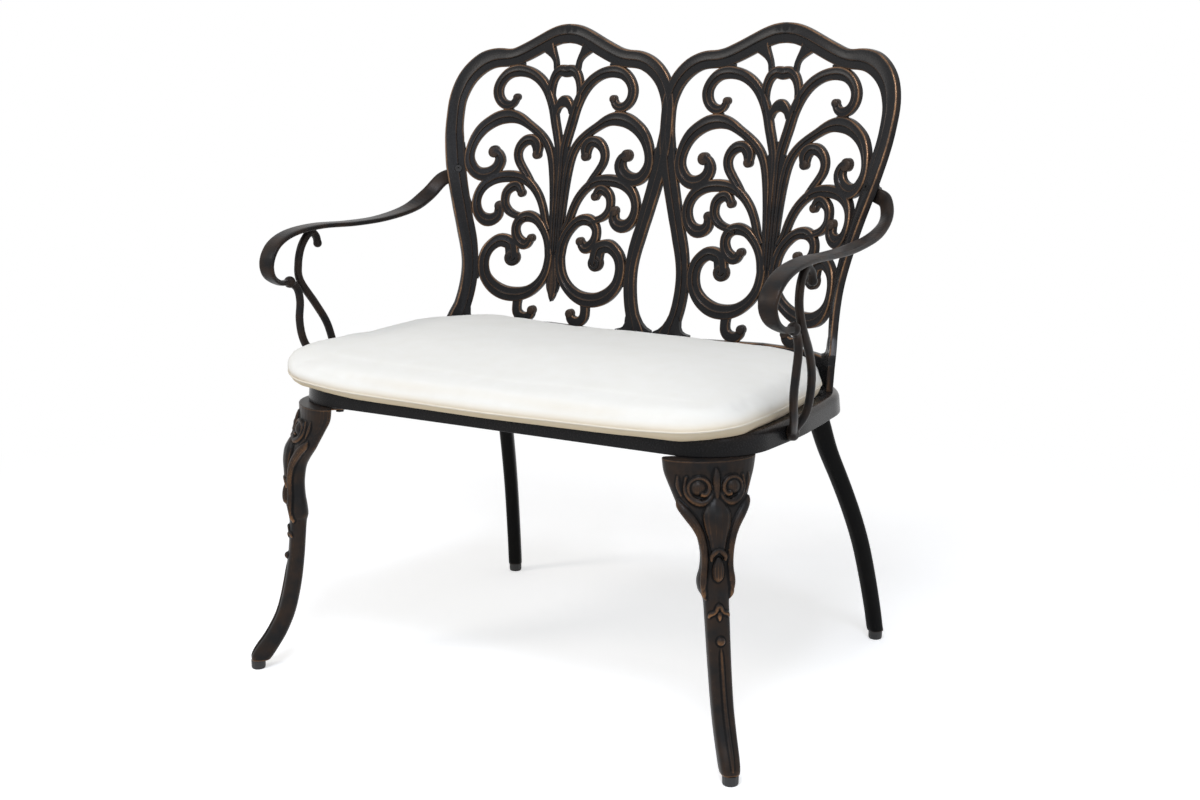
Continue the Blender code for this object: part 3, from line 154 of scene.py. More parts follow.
# %% Floor
FLOOR_SIZE = 14
FLOOR_GLOW = 0.50            # lifts the floor towards white for the camera, so that only the shadow shows
FLOOR_FADE = (0.65, 1.75)    # metres from the middle over which the floor turns plain white
bpy.ops.mesh.primitive_plane_add(size=FLOOR_SIZE, location=(0, 0, 0))
floor = bpy.context.object
floor.name = "floor"
finish, tree, shader = new_material("pale studio floor")
shader.inputs["Base Color"].default_value = linear("#f4f4f4")
shader.inputs["Roughness"].default_value = 0.9
shader.inputs["Specular IOR Level"].default_value = 0.1
path = add_node(tree, "ShaderNodeLightPath")
seen = joined(tree, "MAXIMUM", path.outputs["Is Camera Ray"], path.outputs["Is Glossy Ray"])
glow = add_node(tree, "ShaderNodeEmission", {"Color": WHITE, "Strength": FLOOR_GLOW})
near = add_node(tree, "ShaderNodeAddShader", {0: shader.outputs[0], 1: glow.outputs[0]})
far = add_node(tree, "ShaderNodeEmission", {"Color": WHITE, "Strength": 1.0})
spot = add_node(tree, "ShaderNodeTexCoord").outputs["Object"]
reach = add_node(tree, "ShaderNodeVectorMath", {0: spot}, operation="LENGTH")
fade = ranged(tree, reach.outputs["Value"], 0.0, 1.0, *FLOOR_FADE, interpolation_type="SMOOTHSTEP")
ground = add_node(tree, "ShaderNodeMixShader", {0: fade, 1: near.outputs[0], 2: far.outputs[0]})
surface = add_node(tree, "ShaderNodeMixShader", {0: seen, 1: shader.outputs[0], 2: ground.outputs[0]})
tree.links.new(surface.outputs[0], tree.nodes["Material Output"].inputs["Surface"])
floor.data.materials.append(finish)
print("floor", FLOOR_SIZE, "m wide, plain white beyond", FLOOR_FADE[1], "m")

# %% Lamps


def soft_box(name, place, target, size, power, colour):
    """A rectangular area lamp aimed at a point."""
    bpy.ops.object.light_add(type="AREA", location=place)
    lamp = bpy.context.object
    lamp.name = name
    lamp.data.shape = "RECTANGLE"
    lamp.data.size, lamp.data.size_y = size
    lamp.data.energy = power
    lamp.data.color = linear(colour)[:3]
    lamp.rotation_euler = (Vector(target) - Vector(place)).to_track_quat("-Z", "Y").to_euler()


soft_box("key_light", (-1.7, -2.3, 2.6), (0, 0, 0.45), (0.7, 0.7), 24.0, "#fffaf3")
soft_box("front_light", (0.2, -2.8, 2.1), (0, 0, 0.5), (1.0, 0.5), 9.0, "#e4eeff")
soft_box("fill_light", (2.6, -1.5, 1.6), (0, 0, 0.45), (0.5, 1.0), 5.0, "#dfecff")
soft_box("top_light", (0.7, -1.2, 2.6), (0.1, 0, 0.4), (0.7, 0.7), 33.0, "#eef4ff")

# %% [markdown]
# ## Bronze on aluminium
# The castings are aluminium, sand cast, so their skin has a fine grain and soft corners. The paint is a
# near-black brown with a satin shine, and the maker rubs copper paint over the high edges while it is wet.
# A noise alone would put copper anywhere, so each casting carries a value named rub, large on its edges,
# which the copper follows; edges that look down carry more of it, a painted warm reflection of the lower
# sides, and edges that look up carry less. Legs and arms also carry a value of painted shade, largest in the
# dips of the carving, where the paint is darkest. The rear legs get a darker copy of the paint with hardly
# any copper, which paints the shade they stand in under the seat, and hands burnish the arms and front legs.

# %% Antique bronze
CAST_GRAIN_MM = 2.2       # the real grain is about half of this, too fine to show
RUB_PATCH_MM = 24.0       # how far the copper comes and goes along an edge
PAINTED_HOLLOW_SHADE = "#090808"  # painted shade in the hollows of the carving


def antique_bronze(name, dark, brown, copper, brown_share, shine, glint=0.12):
    """Dark paint, brown patches, rubbed copper and painted shade in dips; shine is its least and most
    roughness.
    """
    finish, tree, shader = new_material(name)
    grain = speckle(tree, 1 / (CAST_GRAIN_MM * MM), 3.0)
    patch = speckle(tree, 1 / (RUB_PATCH_MM * MM), 2.0)
    tint = ranged(tree, patch, 0.0, brown_share, 0.35, 0.75)
    come_and_go = ranged(tree, patch, 0.2, 0.85, 0.3, 0.62)
    worn = joined(tree, "MULTIPLY", attribute(tree, "rub"), come_and_go)
    worn = joined(tree, "MULTIPLY", worn, ranged(tree, grain, 0.6, 1.0, 0.3, 0.6))
    coat = mixed(tree, tint, linear(dark), linear(brown))
    # painted shade: the paint turns near black where the piece dips
    coat = mixed(tree, attribute(tree, "hollow_shade"), coat, linear(PAINTED_HOLLOW_SHADE))
    bump = add_node(tree, "ShaderNodeBump", {"Height": grain, "Strength": 0.18, "Distance": 0.0006})
    tree.links.new(mixed(tree, worn, coat, linear(copper)), shader.inputs["Base Color"])
    tree.links.new(ranged(tree, grain, *shine), shader.inputs["Roughness"])
    tree.links.new(ranged(tree, worn, 0.10, 0.75), shader.inputs["Metallic"])
    tree.links.new(bump.outputs[0], shader.inputs["Normal"])
    shader.inputs["Specular IOR Level"].default_value = glint
    return finish


bronze = antique_bronze("antique bronze paint on sand-cast aluminium", "#1f1f20", "#272423", "#b08560", 0.5,
                        (0.20, 0.33))
# a darker, less shiny copy of the paint paints the shade the rear legs stand in under the seat
shade_darkened_bronze = antique_bronze("bronze paint darkened as painted shade", "#111111", "#161413", "#b08560", 0.5, (0.26, 0.40),
                          glint=0.05)
burnished = antique_bronze("bronze paint burnished by hands", "#1f1e1e", "#392b21", "#a87a52", 0.75,
                           (0.30, 0.44))
print("finishes:", [finish.name for finish in (bronze, shade_darkened_bronze, burnished)])

# %% [markdown]
# ## Mesh helpers
# A casting is easiest to draw as a row of rings, each ring a section through the metal. A grid primitive is
# wrapped round the rings, its seam is merged and its ends are filled. Overlapping bodies are then fused by a
# Boolean, as molten metal would run together.

# %% Selecting and paths


def pick(piece):
    """Selects one object alone and makes it active."""
    bpy.ops.object.select_all(action="DESELECT")
    piece.select_set(True)
    bpy.context.view_layer.objects.active = piece


def smooth_path(points, steps):
    """A Catmull-Rom curve through rows of numbers, with a number of steps for each span."""
    rows = np.array(points, float)
    rows = np.vstack([2 * rows[0] - rows[1], rows, 2 * rows[-1] - rows[-2]])
    t = (np.arange(steps) / steps)[:, None]
    path = []
    for a, b, c, d in zip(rows, rows[1:], rows[2:], rows[3:]):
        path.append(0.5 * (2 * b + (c - a) * t + (2 * a - 5 * b + 4 * c - d) * t ** 2
                           + (3 * b - a - 3 * c + d) * t ** 3))
    return np.vstack(path + [rows[-2]])


def round_angles(points):
    """Angles of evenly spaced points round a circle."""
    return 2 * np.pi * np.arange(points) / points


def unit(rows):
    """Rows scaled to a length of one."""
    return rows / np.linalg.norm(rows, axis=-1, keepdims=True)


def headings(path):
    """Unit directions along a path."""
    return unit(np.vstack([path[1] - path[0], path[2:] - path[:-2], path[-1] - path[-2]]))


# %% Points, edges and values


def points_of(piece, field="co", kind=float):
    """Points, or normals, of a piece as rows."""
    flat = np.empty(len(piece.data.vertices) * 3, np.float32)
    piece.data.vertices.foreach_get(field, flat)
    return flat.reshape(-1, 3).astype(kind)


def edges_of(piece):
    """The two ends of every edge, as point numbers."""
    ends = np.empty(len(piece.data.edges) * 2, np.int32)
    piece.data.edges.foreach_get("vertices", ends)
    return ends.reshape(-1, 2).T


def keep(piece, name, values):
    """Keeps a value at each point, for a finish to read."""
    kept = piece.data.attributes.new(name, "FLOAT", "POINT")
    kept.data.foreach_set("value", values.astype(np.float32).ravel())


def paint(piece, finish):
    """Gives a piece one finish."""
    piece.data.materials.clear()
    piece.data.materials.append(finish)


# %% A skin round rings


def right_side_out(weld=False):
    """Turns the faces of the active piece outward; weld merges its seams and fills its ends first."""
    bpy.ops.object.mode_set(mode="EDIT")
    bpy.ops.mesh.select_all(action="SELECT")
    if weld:
        bpy.ops.mesh.remove_doubles(threshold=1e-6)
        bpy.ops.mesh.fill_holes(sides=0)
    bpy.ops.mesh.normals_make_consistent(inside=False)
    bpy.ops.object.mode_set(mode="OBJECT")


def skin(name, rings, closed=False, rub=None):
    """A grid primitive wrapped round a row of rings; open ends are filled. Rub is a value for each point."""
    rings = np.array(rings, float)
    worn = np.broadcast_to(0.0 if rub is None else np.array(rub, float), rings.shape[:2])
    rings = np.concatenate([rings, rings[:, :1]], axis=1)
    worn = np.concatenate([worn, worn[:, :1]], axis=1)
    if closed:
        rings = np.concatenate([rings, rings[:1]], axis=0)
        worn = np.concatenate([worn, worn[:1]], axis=0)
    rows, columns = rings.shape[:2]
    bpy.ops.object.select_all(action="DESELECT")
    bpy.ops.mesh.primitive_grid_add(x_subdivisions=columns - 1, y_subdivisions=rows - 1, size=1)
    piece = bpy.context.object
    piece.name = name
    piece.data.vertices.foreach_set("co", rings.astype(np.float32).ravel())
    if rub is not None:
        keep(piece, "rub", worn)
    right_side_out(weld=True)
    return piece


# %% Modifiers, fusing and mirroring


def apply(piece, kind, **settings):
    """Adds a modifier with its settings and applies it."""
    step = piece.modifiers.new(kind.lower(), kind)
    for key, value in settings.items():
        setattr(step, key, value)
    pick(piece)
    bpy.ops.object.modifier_apply(modifier=step.name)


def fused(name, pieces):
    """One closed body from overlapping closed pieces."""
    base, others = pieces[0], pieces[1:]
    tools = bpy.data.collections.new(name + "_tools")
    scene.collection.children.link(tools)
    for other in others:
        for home in list(other.users_collection):
            home.objects.unlink(other)
        tools.objects.link(other)
    apply(base, "BOOLEAN", operation="UNION", operand_type="COLLECTION", collection=tools, solver="MANIFOLD")
    for other in others:
        bpy.data.objects.remove(other, do_unlink=True)
    bpy.data.collections.remove(tools)
    base.name = name
    return base


def mirrored(piece, name):
    """A copy for the other side of the bench, turned right side out."""
    pick(piece)
    bpy.ops.object.duplicate()
    copy = bpy.context.object
    copy.name = name
    copy.scale.x = -1
    bpy.ops.object.transform_apply(location=False, rotation=False, scale=True)
    right_side_out()
    return copy


# %% [markdown]
# ## Copper on the edges
# A rag with copper paint touches what stands proud. Blender could bake such a mask, but it is quick to
# measure: a point bulges where its neighbours lie below its tangent plane, and dips where they lie above. The
# dips then take painted shade, and edges that look down take a painted warm reflection.

# %% Rub, painted reflection and painted shade
# the rub on edges is real wear; its tilt to faces that look down paints a warm reflection
RUB_LEVEL, PAINTED_REFLECTION_TILT = 0.5, 0.9      # copper shows less on faces that look up


def mark_rub(piece, rounds=2, softest=90.0, sharpest=330.0):
    """Keeps rub on edges, most where they look down as a painted reflection, and painted shade in dips, up to
    1.
    """
    places, normals = points_of(piece, "co", np.float32), points_of(piece, "normal", np.float32)
    count = len(places)
    a, b = edges_of(piece)
    span = places[b] - places[a]
    square = np.maximum((span ** 2).sum(1), 1e-10)
    bulge = np.zeros(count)
    touching = np.zeros(count)
    for here, way in ((a, -1.0), (b, 1.0)):
        np.add.at(bulge, here, way * (normals[here] * span).sum(1) / square)
        np.add.at(touching, here, 1.0)
    bulge /= np.maximum(touching, 1.0)
    for _ in range(rounds):
        around = np.zeros(count)
        np.add.at(around, a, bulge[b])
        np.add.at(around, b, bulge[a])
        bulge = 0.5 * bulge + 0.5 * around / np.maximum(touching, 1.0)
    worn = np.clip((bulge - softest) / (sharpest - softest), 0.0, 1.0)
    # painted reflection: more copper on edges that look down, as the warm light the lower sides catch
    worn = worn * np.clip(RUB_LEVEL - PAINTED_REFLECTION_TILT * normals[:, 2], 0.0, 1.0)
    keep(piece, "rub", worn)
    # painted shade, up to 1 in the dips
    keep(piece, "hollow_shade", np.clip(-bulge / softest, 0.0, 1.0))


def finish_casting(piece, finish, node, sharp=38.0):
    """Shades a casting, paints it and puts it in the place of its CAD node."""
    pick(piece)
    bpy.ops.object.shade_smooth_by_angle(angle=math.radians(sharp))
    paint(piece, finish)
    if "rub" not in piece.data.attributes:
        mark_rub(piece)
    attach(piece, "bench")
    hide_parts(node)
    print(piece.name, len(piece.data.polygons), "faces")


def finish_pair(right, finish, node, sharp):
    """Finishes a right-hand casting and its mirror image."""
    left_node = node.replace("right", "left")
    left = mirrored(right, left_node + "_casting")
    finish_casting(right, finish, node, sharp)
    finish_casting(left, finish, left_node, sharp)


# %% [markdown]
# ## The pierced back
# The back is one casting: two shields side by side, each a frame with scrolls that grow from a trunk. A
# bevelled curve could draw a scroll, but its section stays the same. So every scroll is a stroke of changing
# width, and its section is swept along it: a rounded edge, a high band, a step and a lower band, just as the
# pattern maker carved it. The strokes are drawn flat, in millimetres, for half a shield, then bent round the
# rear corners of the seat.

# %% Bend of the back
SEAT_DEPTH = 0.4257
BACK_INSET = 0.014            # back's middle surface ahead of the rim's rear face
BACK_TILT = math.radians(7.9)
BACK_RISE = 0.4918
BACK_FRONT, BACK_REAR = 6.0, 3.5              # faces ahead of and behind the middle surface, in millimetres
BEND_START = 0.2100                           # where the back starts to bend round the rear corner
BEND_RADIUS, BEND_GROWTH, BEND_POWER = 0.121, 0.500, 2.8
SHIELD_PITCH = 0.360
PATTERN_HALF, PATTERN_FOOT, PATTERN_CROWN = 180.0, 411.2, 903.0
FOOT_SLOPE = (SEAT_TOP + 0.0003) / math.cos(BACK_TILT)


def back_points(flat):
    """Pattern rows (across, up, behind the middle surface, in millimetres) as points of the right shield."""
    flat = np.array(flat, float)
    across = SHIELD_PITCH / 2 * (1 + flat[..., 0] / PATTERN_HALF)
    slope = FOOT_SLOPE + (flat[..., 1] - PATTERN_FOOT) * BACK_RISE / (PATTERN_CROWN - PATTERN_FOOT)
    depth = flat[..., 2] * MM
    rise = np.maximum(slope - FOOT_SLOPE, 0) / BACK_RISE
    radius = BEND_RADIUS + BEND_GROWTH * rise ** BEND_POWER
    turn = np.maximum(across - BEND_START, 0) / radius
    x = np.minimum(across, BEND_START) + (radius + depth) * np.sin(turn)
    y = (FRONT_Y + SEAT_DEPTH - BACK_INSET + (slope - FOOT_SLOPE) * math.sin(BACK_TILT)
         - radius + (radius + depth) * np.cos(turn))
    return np.stack([x, y, slope * math.cos(BACK_TILT)], axis=-1)


print("foot and crown of a shield", np.round(back_points([(0, PATTERN_FOOT, 0), (0, PATTERN_CROWN, 0)]), 3))

# %% Strokes of half a shield: across, up, width
FRAME = [(-15, 887, 28.5), (0, 888.5, 29), (15, 887, 28.5), (30, 882, 28), (45, 875, 27.5),
         (60, 867.5, 27.5), (75, 860.5, 27.5), (90, 854.5, 27), (105, 851.5, 26.5), (120, 850.5, 26.5),
         (133, 847.5, 26), (146, 841, 26), (158, 831, 25.5), (168, 818, 24.5), (175, 802, 23),
         (179, 785, 21.5), (179.8, 765, 21.2), (179.3, 745, 22), (177.3, 728, 23.4), (174.7, 710, 23.8),
         (171.6, 692, 23.8), (167.7, 675, 23.6), (163.3, 657, 23), (158.9, 640, 22.4), (154.1, 622, 22.2),
         (150, 606, 21), (145.5, 590, 21.5), (141, 573, 21), (138, 557, 20), (136.2, 541, 19.6),
         (135.9, 525, 19.8), (137, 508, 20.2), (139.8, 490, 20.3), (144, 474, 21), (149, 460, 26),
         (152, 446, 34)]
UPPER_SCROLL = [(3.3, 560, 5.5), (3.6, 610, 6), (4.3, 650, 7.5), (4.6, 684, 9.5), (5.2, 714, 12),
                (9.5, 735, 13), (15, 755, 13.2), (20, 775, 13.5), (27, 793, 14), (36, 808, 14.5),
                (47, 819.5, 15), (60, 827.5, 15.5), (73, 831.5, 16.5), (86, 832.5, 17.5), (99, 829.5, 16.5),
                (109, 822, 15), (115.5, 812, 14.5), (117.5, 802, 14.5), (115, 791.5, 14), (108, 783, 13.5),
                (99, 780, 13), (90.5, 783, 11), (85.3, 792, 9)]
LOOP = [(-8, 833.5, 16), (0, 832, 17), (8, 833.5, 16), (16, 830, 14), (21.5, 822, 12), (24.5, 812, 11),
        (25.5, 802, 10.5), (24.5, 792, 9.5), (21, 781, 9)]
ARCH = [(-6, 784.5, 15), (0, 787.5, 18), (6, 784.5, 15), (11.5, 778, 11), (14, 769, 8)]
CROWN_STRUT = [(35, 868, 22), (29.5, 861, 15), (24, 853.5, 9.5), (20.5, 846, 7.2), (19, 837, 7.5),
               (17, 829, 8)]
BIG_SCROLL = [(7.8, 565, 6), (9, 610, 7), (11, 650, 9), (14, 682, 11), (18.5, 704, 11.5), (25, 719, 12),
              (35, 731.5, 12), (48, 742, 12), (62, 751, 12.5), (74, 758, 15), (85, 761.8, 18),
              (97, 763, 20.5), (111, 760.5, 20.5), (125, 753.5, 19), (138, 743, 18), (147.5, 729, 16),
              (153, 713, 14.5),
              (154, 699, 15), (150, 687, 17), (142, 678, 17.5), (131, 674, 19), (118.5, 676.5, 19),
              (109, 684.5, 17.5), (105, 695, 16.5), (108, 704.5, 14), (115.5, 709, 14)]
MID_SCROLL = [(50, 661, 9), (59, 674, 10), (67.5, 685, 11), (74.5, 696.5, 11.5), (76.5, 708, 12),
              (72.5, 719, 13.5), (63, 727, 15.5), (52, 727.5, 16), (44.5, 719.5, 17), (43.8, 705.8, 12)]
THIRD_SCROLL = [(14, 592, 9), (21, 605, 10.5), (25, 618, 11), (29.3, 630, 11), (36, 643, 11.5),
                (46, 655.5, 12), (58, 665, 13.5), (70, 670, 15.5), (85, 671.5, 17), (100, 670.5, 17),
                (113, 666.5, 16), (125, 659, 15.5), (133, 648, 14), (136.5, 635, 13.5),
                (135, 622, 14.5), (129, 611, 16), (119, 604.8, 18.5), (108.5, 606, 17.5),
                (101, 613.5, 15), (100.8, 626.5, 12)]
SIDE_HOOK = [(55, 608, 8), (66, 611, 9.5), (76, 613.5, 10.5), (85, 619, 11.5), (91, 628, 11.5),
             (92.3, 638, 12), (90, 648, 13), (82, 655.5, 14.5), (73, 656.5, 14), (65.6, 646.6, 10.5)]
FOURTH_SCROLL = [(10, 552, 13), (12.5, 570, 13), (18, 585, 13), (27, 598, 13.5), (38, 607.5, 14.5),
                 (51, 611.3, 16.5), (62, 608.5, 15.5), (69.5, 600, 13), (71.3, 590, 12.7),
                 (68, 578.5, 14.5), (60.5, 570.5, 16.5), (52.5, 569, 15), (44.3, 578, 10.5)]
RING = [(9.5, 556, 13.5), (10.8, 542, 13.5), (14, 528, 14), (21, 515, 14.5), (31, 504.5, 15.5),
        (43, 496.5, 17.5), (56, 492, 19.5), (70, 491, 20.3), (82, 492.8, 20.5), (94, 498, 20),
        (105, 506.5, 18.5), (113.5, 518, 17), (117.5, 531, 16.5), (118, 545, 16.5), (114, 558, 17),
        (106, 567.5, 17.5), (96, 573.3, 19), (85.5, 572.5, 19.5), (77, 566.5, 19.5), (73.7, 547, 20)]
FOOT_HOOK = [(60, 486, 14.5), (61, 474, 13.8), (59.8, 464.5, 14.6), (54, 458, 15.5), (45.5, 456, 16),
             (37.5, 460.5, 14), (34.8, 468, 12)]
LEAF = [(0, 484, 1), (0, 490, 9), (0, 499, 15), (0, 511, 17), (0, 527, 13), (0, 545, 7), (0, 562, 1)]
WELDS = [[(163, 690, 3), (164.5, 706, 9), (165.3, 723, 3)], [(146, 616, 3), (147.5, 628, 9), (149.6, 641, 3)],
         [(125.8, 515, 3), (126.5, 531, 9), (127.4, 548, 3)], [(90, 773, 3), (98, 772.5, 8), (106, 772.8, 3)],
         [(76, 843, 3), (86, 842.5, 8), (96, 841.2, 3)]]
TRUNK = [(0, 487, 0.6), (0, 493, 10), (0, 500, 18), (0, 508, 22), (0, 525, 24), (0, 560, 24),
         (0, 592, 23), (0, 620, 26), (0, 640, 29), (0, 660, 33), (0, 680, 36), (0, 700, 36),
         (0, 716, 28), (0, 728, 15), (0, 737, 1)]
RAIL = [(-1, 431.6, 40.8), (90, 430.2, 38), (181, 428.6, 34.8)]
TIPS = [(85.3, 792.0, 5.6), (115.5, 709.0, 8.8), (43.8, 705.8, 6.8), (100.8, 626.5, 7.0),
        (65.6, 646.6, 6.2), (44.3, 578.0, 6.2), (34.8, 468.0, 6.6)]
VOLUTE = (73.7, 547.0, 13.0)
FOOT_FILLET = [(118, 441), (118, 452.4), (126, 454.2), (131, 457), (133.7, 462), (134, 470), (136, 478),
               (150, 482), (152.5, 480), (156.3, 472), (161.8, 464), (168.5, 458), (177, 454), (180, 441)]
OUTER_LIP, LIP_START, LIP_RUN = 6.0, 95.0, 45.0     # extra width outside the outer uprights
print("frame of", len(FRAME), "points, ring of", len(RING))

# %% Sections of the strokes
EDGE = 2.4                    # radius of a stroke's rounded edges
INNER_EDGE = 0.8              # the low band's edge is smaller, and rubbed less
STEP_DROP = 1.9               # low band below the high one
STEP_AT = -0.04               # place of the step, as a share of the half width
QUARTER = [(1 - math.cos(t), 1 - math.sin(t)) for t in np.radians((0, 22.5, 45, 67.5, 90))]
EDGE_RUB = (0.05, 0.45, 0.8, 0.35, 0.0)
RUBBED_HALF = 6.5             # narrower strokes lie lower between their neighbours and are rubbed less
FULLER = 1.08                 # the paint rounds the scrolls out a little


def stepped_section(half, wider=0.0):
    """Section from the outer wall to the inner wall: offset, depth in millimetres, and rub."""
    e = min(EDGE, 0.40 * half)
    k = min(1.0, half / 4.5)
    step = STEP_AT * half
    top, low = -BACK_FRONT, -BACK_FRONT + STEP_DROP * k
    outer = half + wider
    rows = [(outer, BACK_REAR, 0.0)]
    rows += [(outer - e * a, top + e * b, rub) for (a, b), rub in zip(QUARTER, EDGE_RUB)]
    rows += [(outer - e - 0.3 * k, top, 0.0), (step + 1.5 * k, top, 0.0),
             (step + 0.8 * k, top - 0.3 * k, 0.12), (step, top + 0.1 * k, 0.2),
             (step - 0.7 * k, low - 0.2 * k, 0.0), (step - 1.1 * k, low, 0.0), (step - 1.5 * k, low, 0.0)]
    e *= INNER_EDGE
    rows.append((-half + e + 0.3 * k, low, 0.0))
    inner = [(-half + e * a, low + e * b, INNER_EDGE * rub) for (a, b), rub in zip(QUARTER, EDGE_RUB)]
    rows += reversed(inner)
    return rows + [(-half, BACK_REAR, 0.0)]


def plain_section(half, lower=0.0, rise=0.0, worn=1.0):
    """Section with equal edges; its face lies lower than the scrolls and rises to its middle."""
    e = min(EDGE, 0.40 * half)
    top = -BACK_FRONT + lower
    side = [(half, BACK_REAR, 0.0)]
    side += [(half - e * a, top + e * b, worn * rub) for (a, b), rub in zip(QUARTER, EDGE_RUB)]
    side.append((half - e - 0.05 * half, top, 0.0))
    middle = (0.0, top - rise, 0.15 if rise > 0 else 0.0)
    return side + [middle] + [(-a, b, rub) for a, b, rub in reversed(side)]


def stroke(name, points, steps, section=stepped_section, lip=0.0):
    """A stroke of the pattern swept into a closed bar; the outside of its curl is the high side."""
    path = smooth_path(points, steps)
    ahead = headings(path[:, :2])
    left = np.stack([-ahead[:, 1], ahead[:, 0]], axis=1)
    turning = np.sum(ahead[:-1, 0] * ahead[1:, 1] - ahead[:-1, 1] * ahead[1:, 0])
    outside = -1.0 if turning > 0.3 else 1.0
    rings = []
    worn = []
    for spot, normal in zip(path, left):
        half = max(spot[2], 1.0) / 2
        extra = lip * min(max((spot[0] - LIP_START) / LIP_RUN, 0.0), 1.0)
        rows = section(half, extra) if lip else section(half)
        rings.append([(*(spot[:2] + normal * outside * offset), depth) for offset, depth, rub in rows])
        worn.append([rub * min(1.0, (half / RUBBED_HALF) ** 2) for offset, depth, rub in rows])
    return name, np.array(rings), worn


def dome(name, x, y, radius, flat=0.0, points=20):
    """A domed boss at the end of a scroll; flat keeps its face low for a spiral."""
    e = min(2.6, 0.45 * radius)
    top = -BACK_FRONT + flat
    turns = round_angles(points)
    rows = [(radius, BACK_REAR)] + [(radius - e * a, top + e * b) for a, b in QUARTER]
    rows.append((radius * 0.25, top))
    rings = np.array([[(x + r * math.cos(t), y + r * math.sin(t), d) for t in turns] for r, d in rows])
    return name, rings, [0.12] * points


def spiral(name, x, y, radius, turns, half):
    """A ridge that winds into a volute, as a stroke."""
    count = int(14 * turns)
    angles = math.radians(80) + 2 * np.pi * turns * np.arange(count + 1) / count
    reach = radius * (1 - 0.88 * np.arange(count + 1) / count)
    rows = [(x + r * math.cos(t), y + r * math.sin(t), 2 * half) for r, t in zip(reach, angles)]
    return stroke(name, rows, 2, plain_section)


print("a stroke's section has", len(stepped_section(EDGE)), "points")

# %% Cast the back


def half_shield(outer):
    """All bodies of half a shield, in the pattern."""
    bodies = [stroke("frame", FRAME, 3, lip=OUTER_LIP) if outer else stroke("frame", FRAME, 3)]
    for label, points, steps in (("upper", UPPER_SCROLL, 3), ("loop", LOOP, 4), ("big", BIG_SCROLL, 3),
                                 ("mid", MID_SCROLL, 4), ("third", THIRD_SCROLL, 3), ("hook", SIDE_HOOK, 4),
                                 ("fourth", FOURTH_SCROLL, 4), ("ring", RING, 3)):
        bodies.append(stroke(label, [(x, y, width * FULLER) for x, y, width in points], steps))
    bodies.append(stroke("arch", ARCH, 5, plain_section))
    bodies.append(stroke("crown_strut", CROWN_STRUT, 4, lambda half: plain_section(half, 0.6)))
    bodies.append(stroke("foot_hook", FOOT_HOOK, 5, lambda half: plain_section(half, 0.6)))
    bodies.append(stroke("trunk", TRUNK, 3, lambda half: plain_section(half, 1.9, 0.0, 0.0)))
    bodies.append(stroke("leaf", LEAF, 4, lambda half: plain_section(half, 1.4, 1.6)))
    bodies.append(stroke("rail", RAIL, 8, lambda half: plain_section(half, 0.5)))
    bodies += [stroke("weld", weld, 4, lambda half: plain_section(half, 2.2, 0.0, 0.2)) for weld in WELDS]
    bodies += [dome("tip", x, y, radius * FULLER) for x, y, radius in TIPS]
    bodies.append(dome("volute", *VOLUTE, flat=1.6))
    bodies.append(spiral("volute_ridge", VOLUTE[0], VOLUTE[1], VOLUTE[2] - 2.6, 1.5, 2.3))
    fillet = [[(x, y, depth) for x, y in FOOT_FILLET] for depth in (BACK_REAR, -BACK_FRONT + 1.0)]
    bodies.append(("fillet", np.array(fillet), [0.0] * len(FOOT_FILLET)))
    return bodies


solids = []
for side in (-1.0, 1.0):
    for label, rings, rub in half_shield(side > 0):
        if side < 0 and label == "leaf":
            continue      # the leaf lies on the middle line, so it is cast once
        solids.append(skin("back_" + label, back_points(rings * np.array([side, 1.0, 1.0])), rub=rub))
shield = fused("right_shield", solids)
back = fused("scroll_back", [shield, mirrored(shield, "left_shield")])

# %% [markdown]
# ## Countersunk screws
# Two flat-head screws hold the tabs of the arms behind the outer uprights. A real screw sits in a drilled
# cone, so a Boolean cuts one in the casting, with a seam of clearance. Each screw is a turned profile, and a
# six-sided socket is cut in its face.

# %% Place of the arm screws
ARM_HEIGHT, ARM_TAB_RISE, ARM_THICKNESS = 0.6085, 0.0687, 0.0075
SCREW_RADIUS, SCREW_HEAD, SCREW_SINK = 0.0030, 0.0056, 0.0035
SOCKET_RADIUS, SOCKET_DEPTH = 0.0022, 0.0024
OVERSHOOT = 0.002                 # a cutting tool starts this far outside the surface
SEAM = 0.0003                     # clearance between pieces that seat on each other
screw_slope = (ARM_HEIGHT + ARM_TAB_RISE) / math.cos(BACK_TILT)
screw_up = PATTERN_FOOT + (screw_slope - FOOT_SLOPE) * (PATTERN_CROWN - PATTERN_FOOT) / BACK_RISE
upright = np.array(FRAME[:15:-1])
screw_across = np.interp(screw_up, upright[:, 1], upright[:, 0])
screw_face = back_points((screw_across, screw_up, -BACK_FRONT))
beside = back_points((screw_across + 1, screw_up, -BACK_FRONT)) - screw_face
above = back_points((screw_across, screw_up + 1, -BACK_FRONT)) - screw_face
screw_axis = unit(np.cross(above, beside))


def turned(name, profile, place, axis, points=32):
    """A closed solid turned about an axis from (radius, distance along the axis) pairs."""
    turn = Vector(axis).to_track_quat("Z", "Y").to_matrix()
    angles = round_angles(points)
    rings = [[(r * math.cos(t), r * math.sin(t), h) for t in angles] for r, h in profile]
    return skin(name, np.array(rings) @ np.array(turn).T + np.array(place))


def carved(piece, tool):
    """Cuts one closed body out of another and clears the tool away."""
    apply(piece, "BOOLEAN", operation="DIFFERENCE", object=tool, solver="MANIFOLD")
    bpy.data.objects.remove(tool, do_unlink=True)


for side in (1.0, -1.0):
    flip = np.array([side, 1.0, 1.0])
    sink = turned("sink", [(SCREW_HEAD + SEAM + OVERSHOOT, -OVERSHOOT), (SCREW_HEAD + SEAM, 0.0),
                           (SCREW_RADIUS + SEAM, SCREW_SINK), (SCREW_RADIUS + SEAM, 0.02)],
                  screw_face * flip, screw_axis * flip)
    carved(back, sink)
finish_casting(back, bronze, "back_panel")

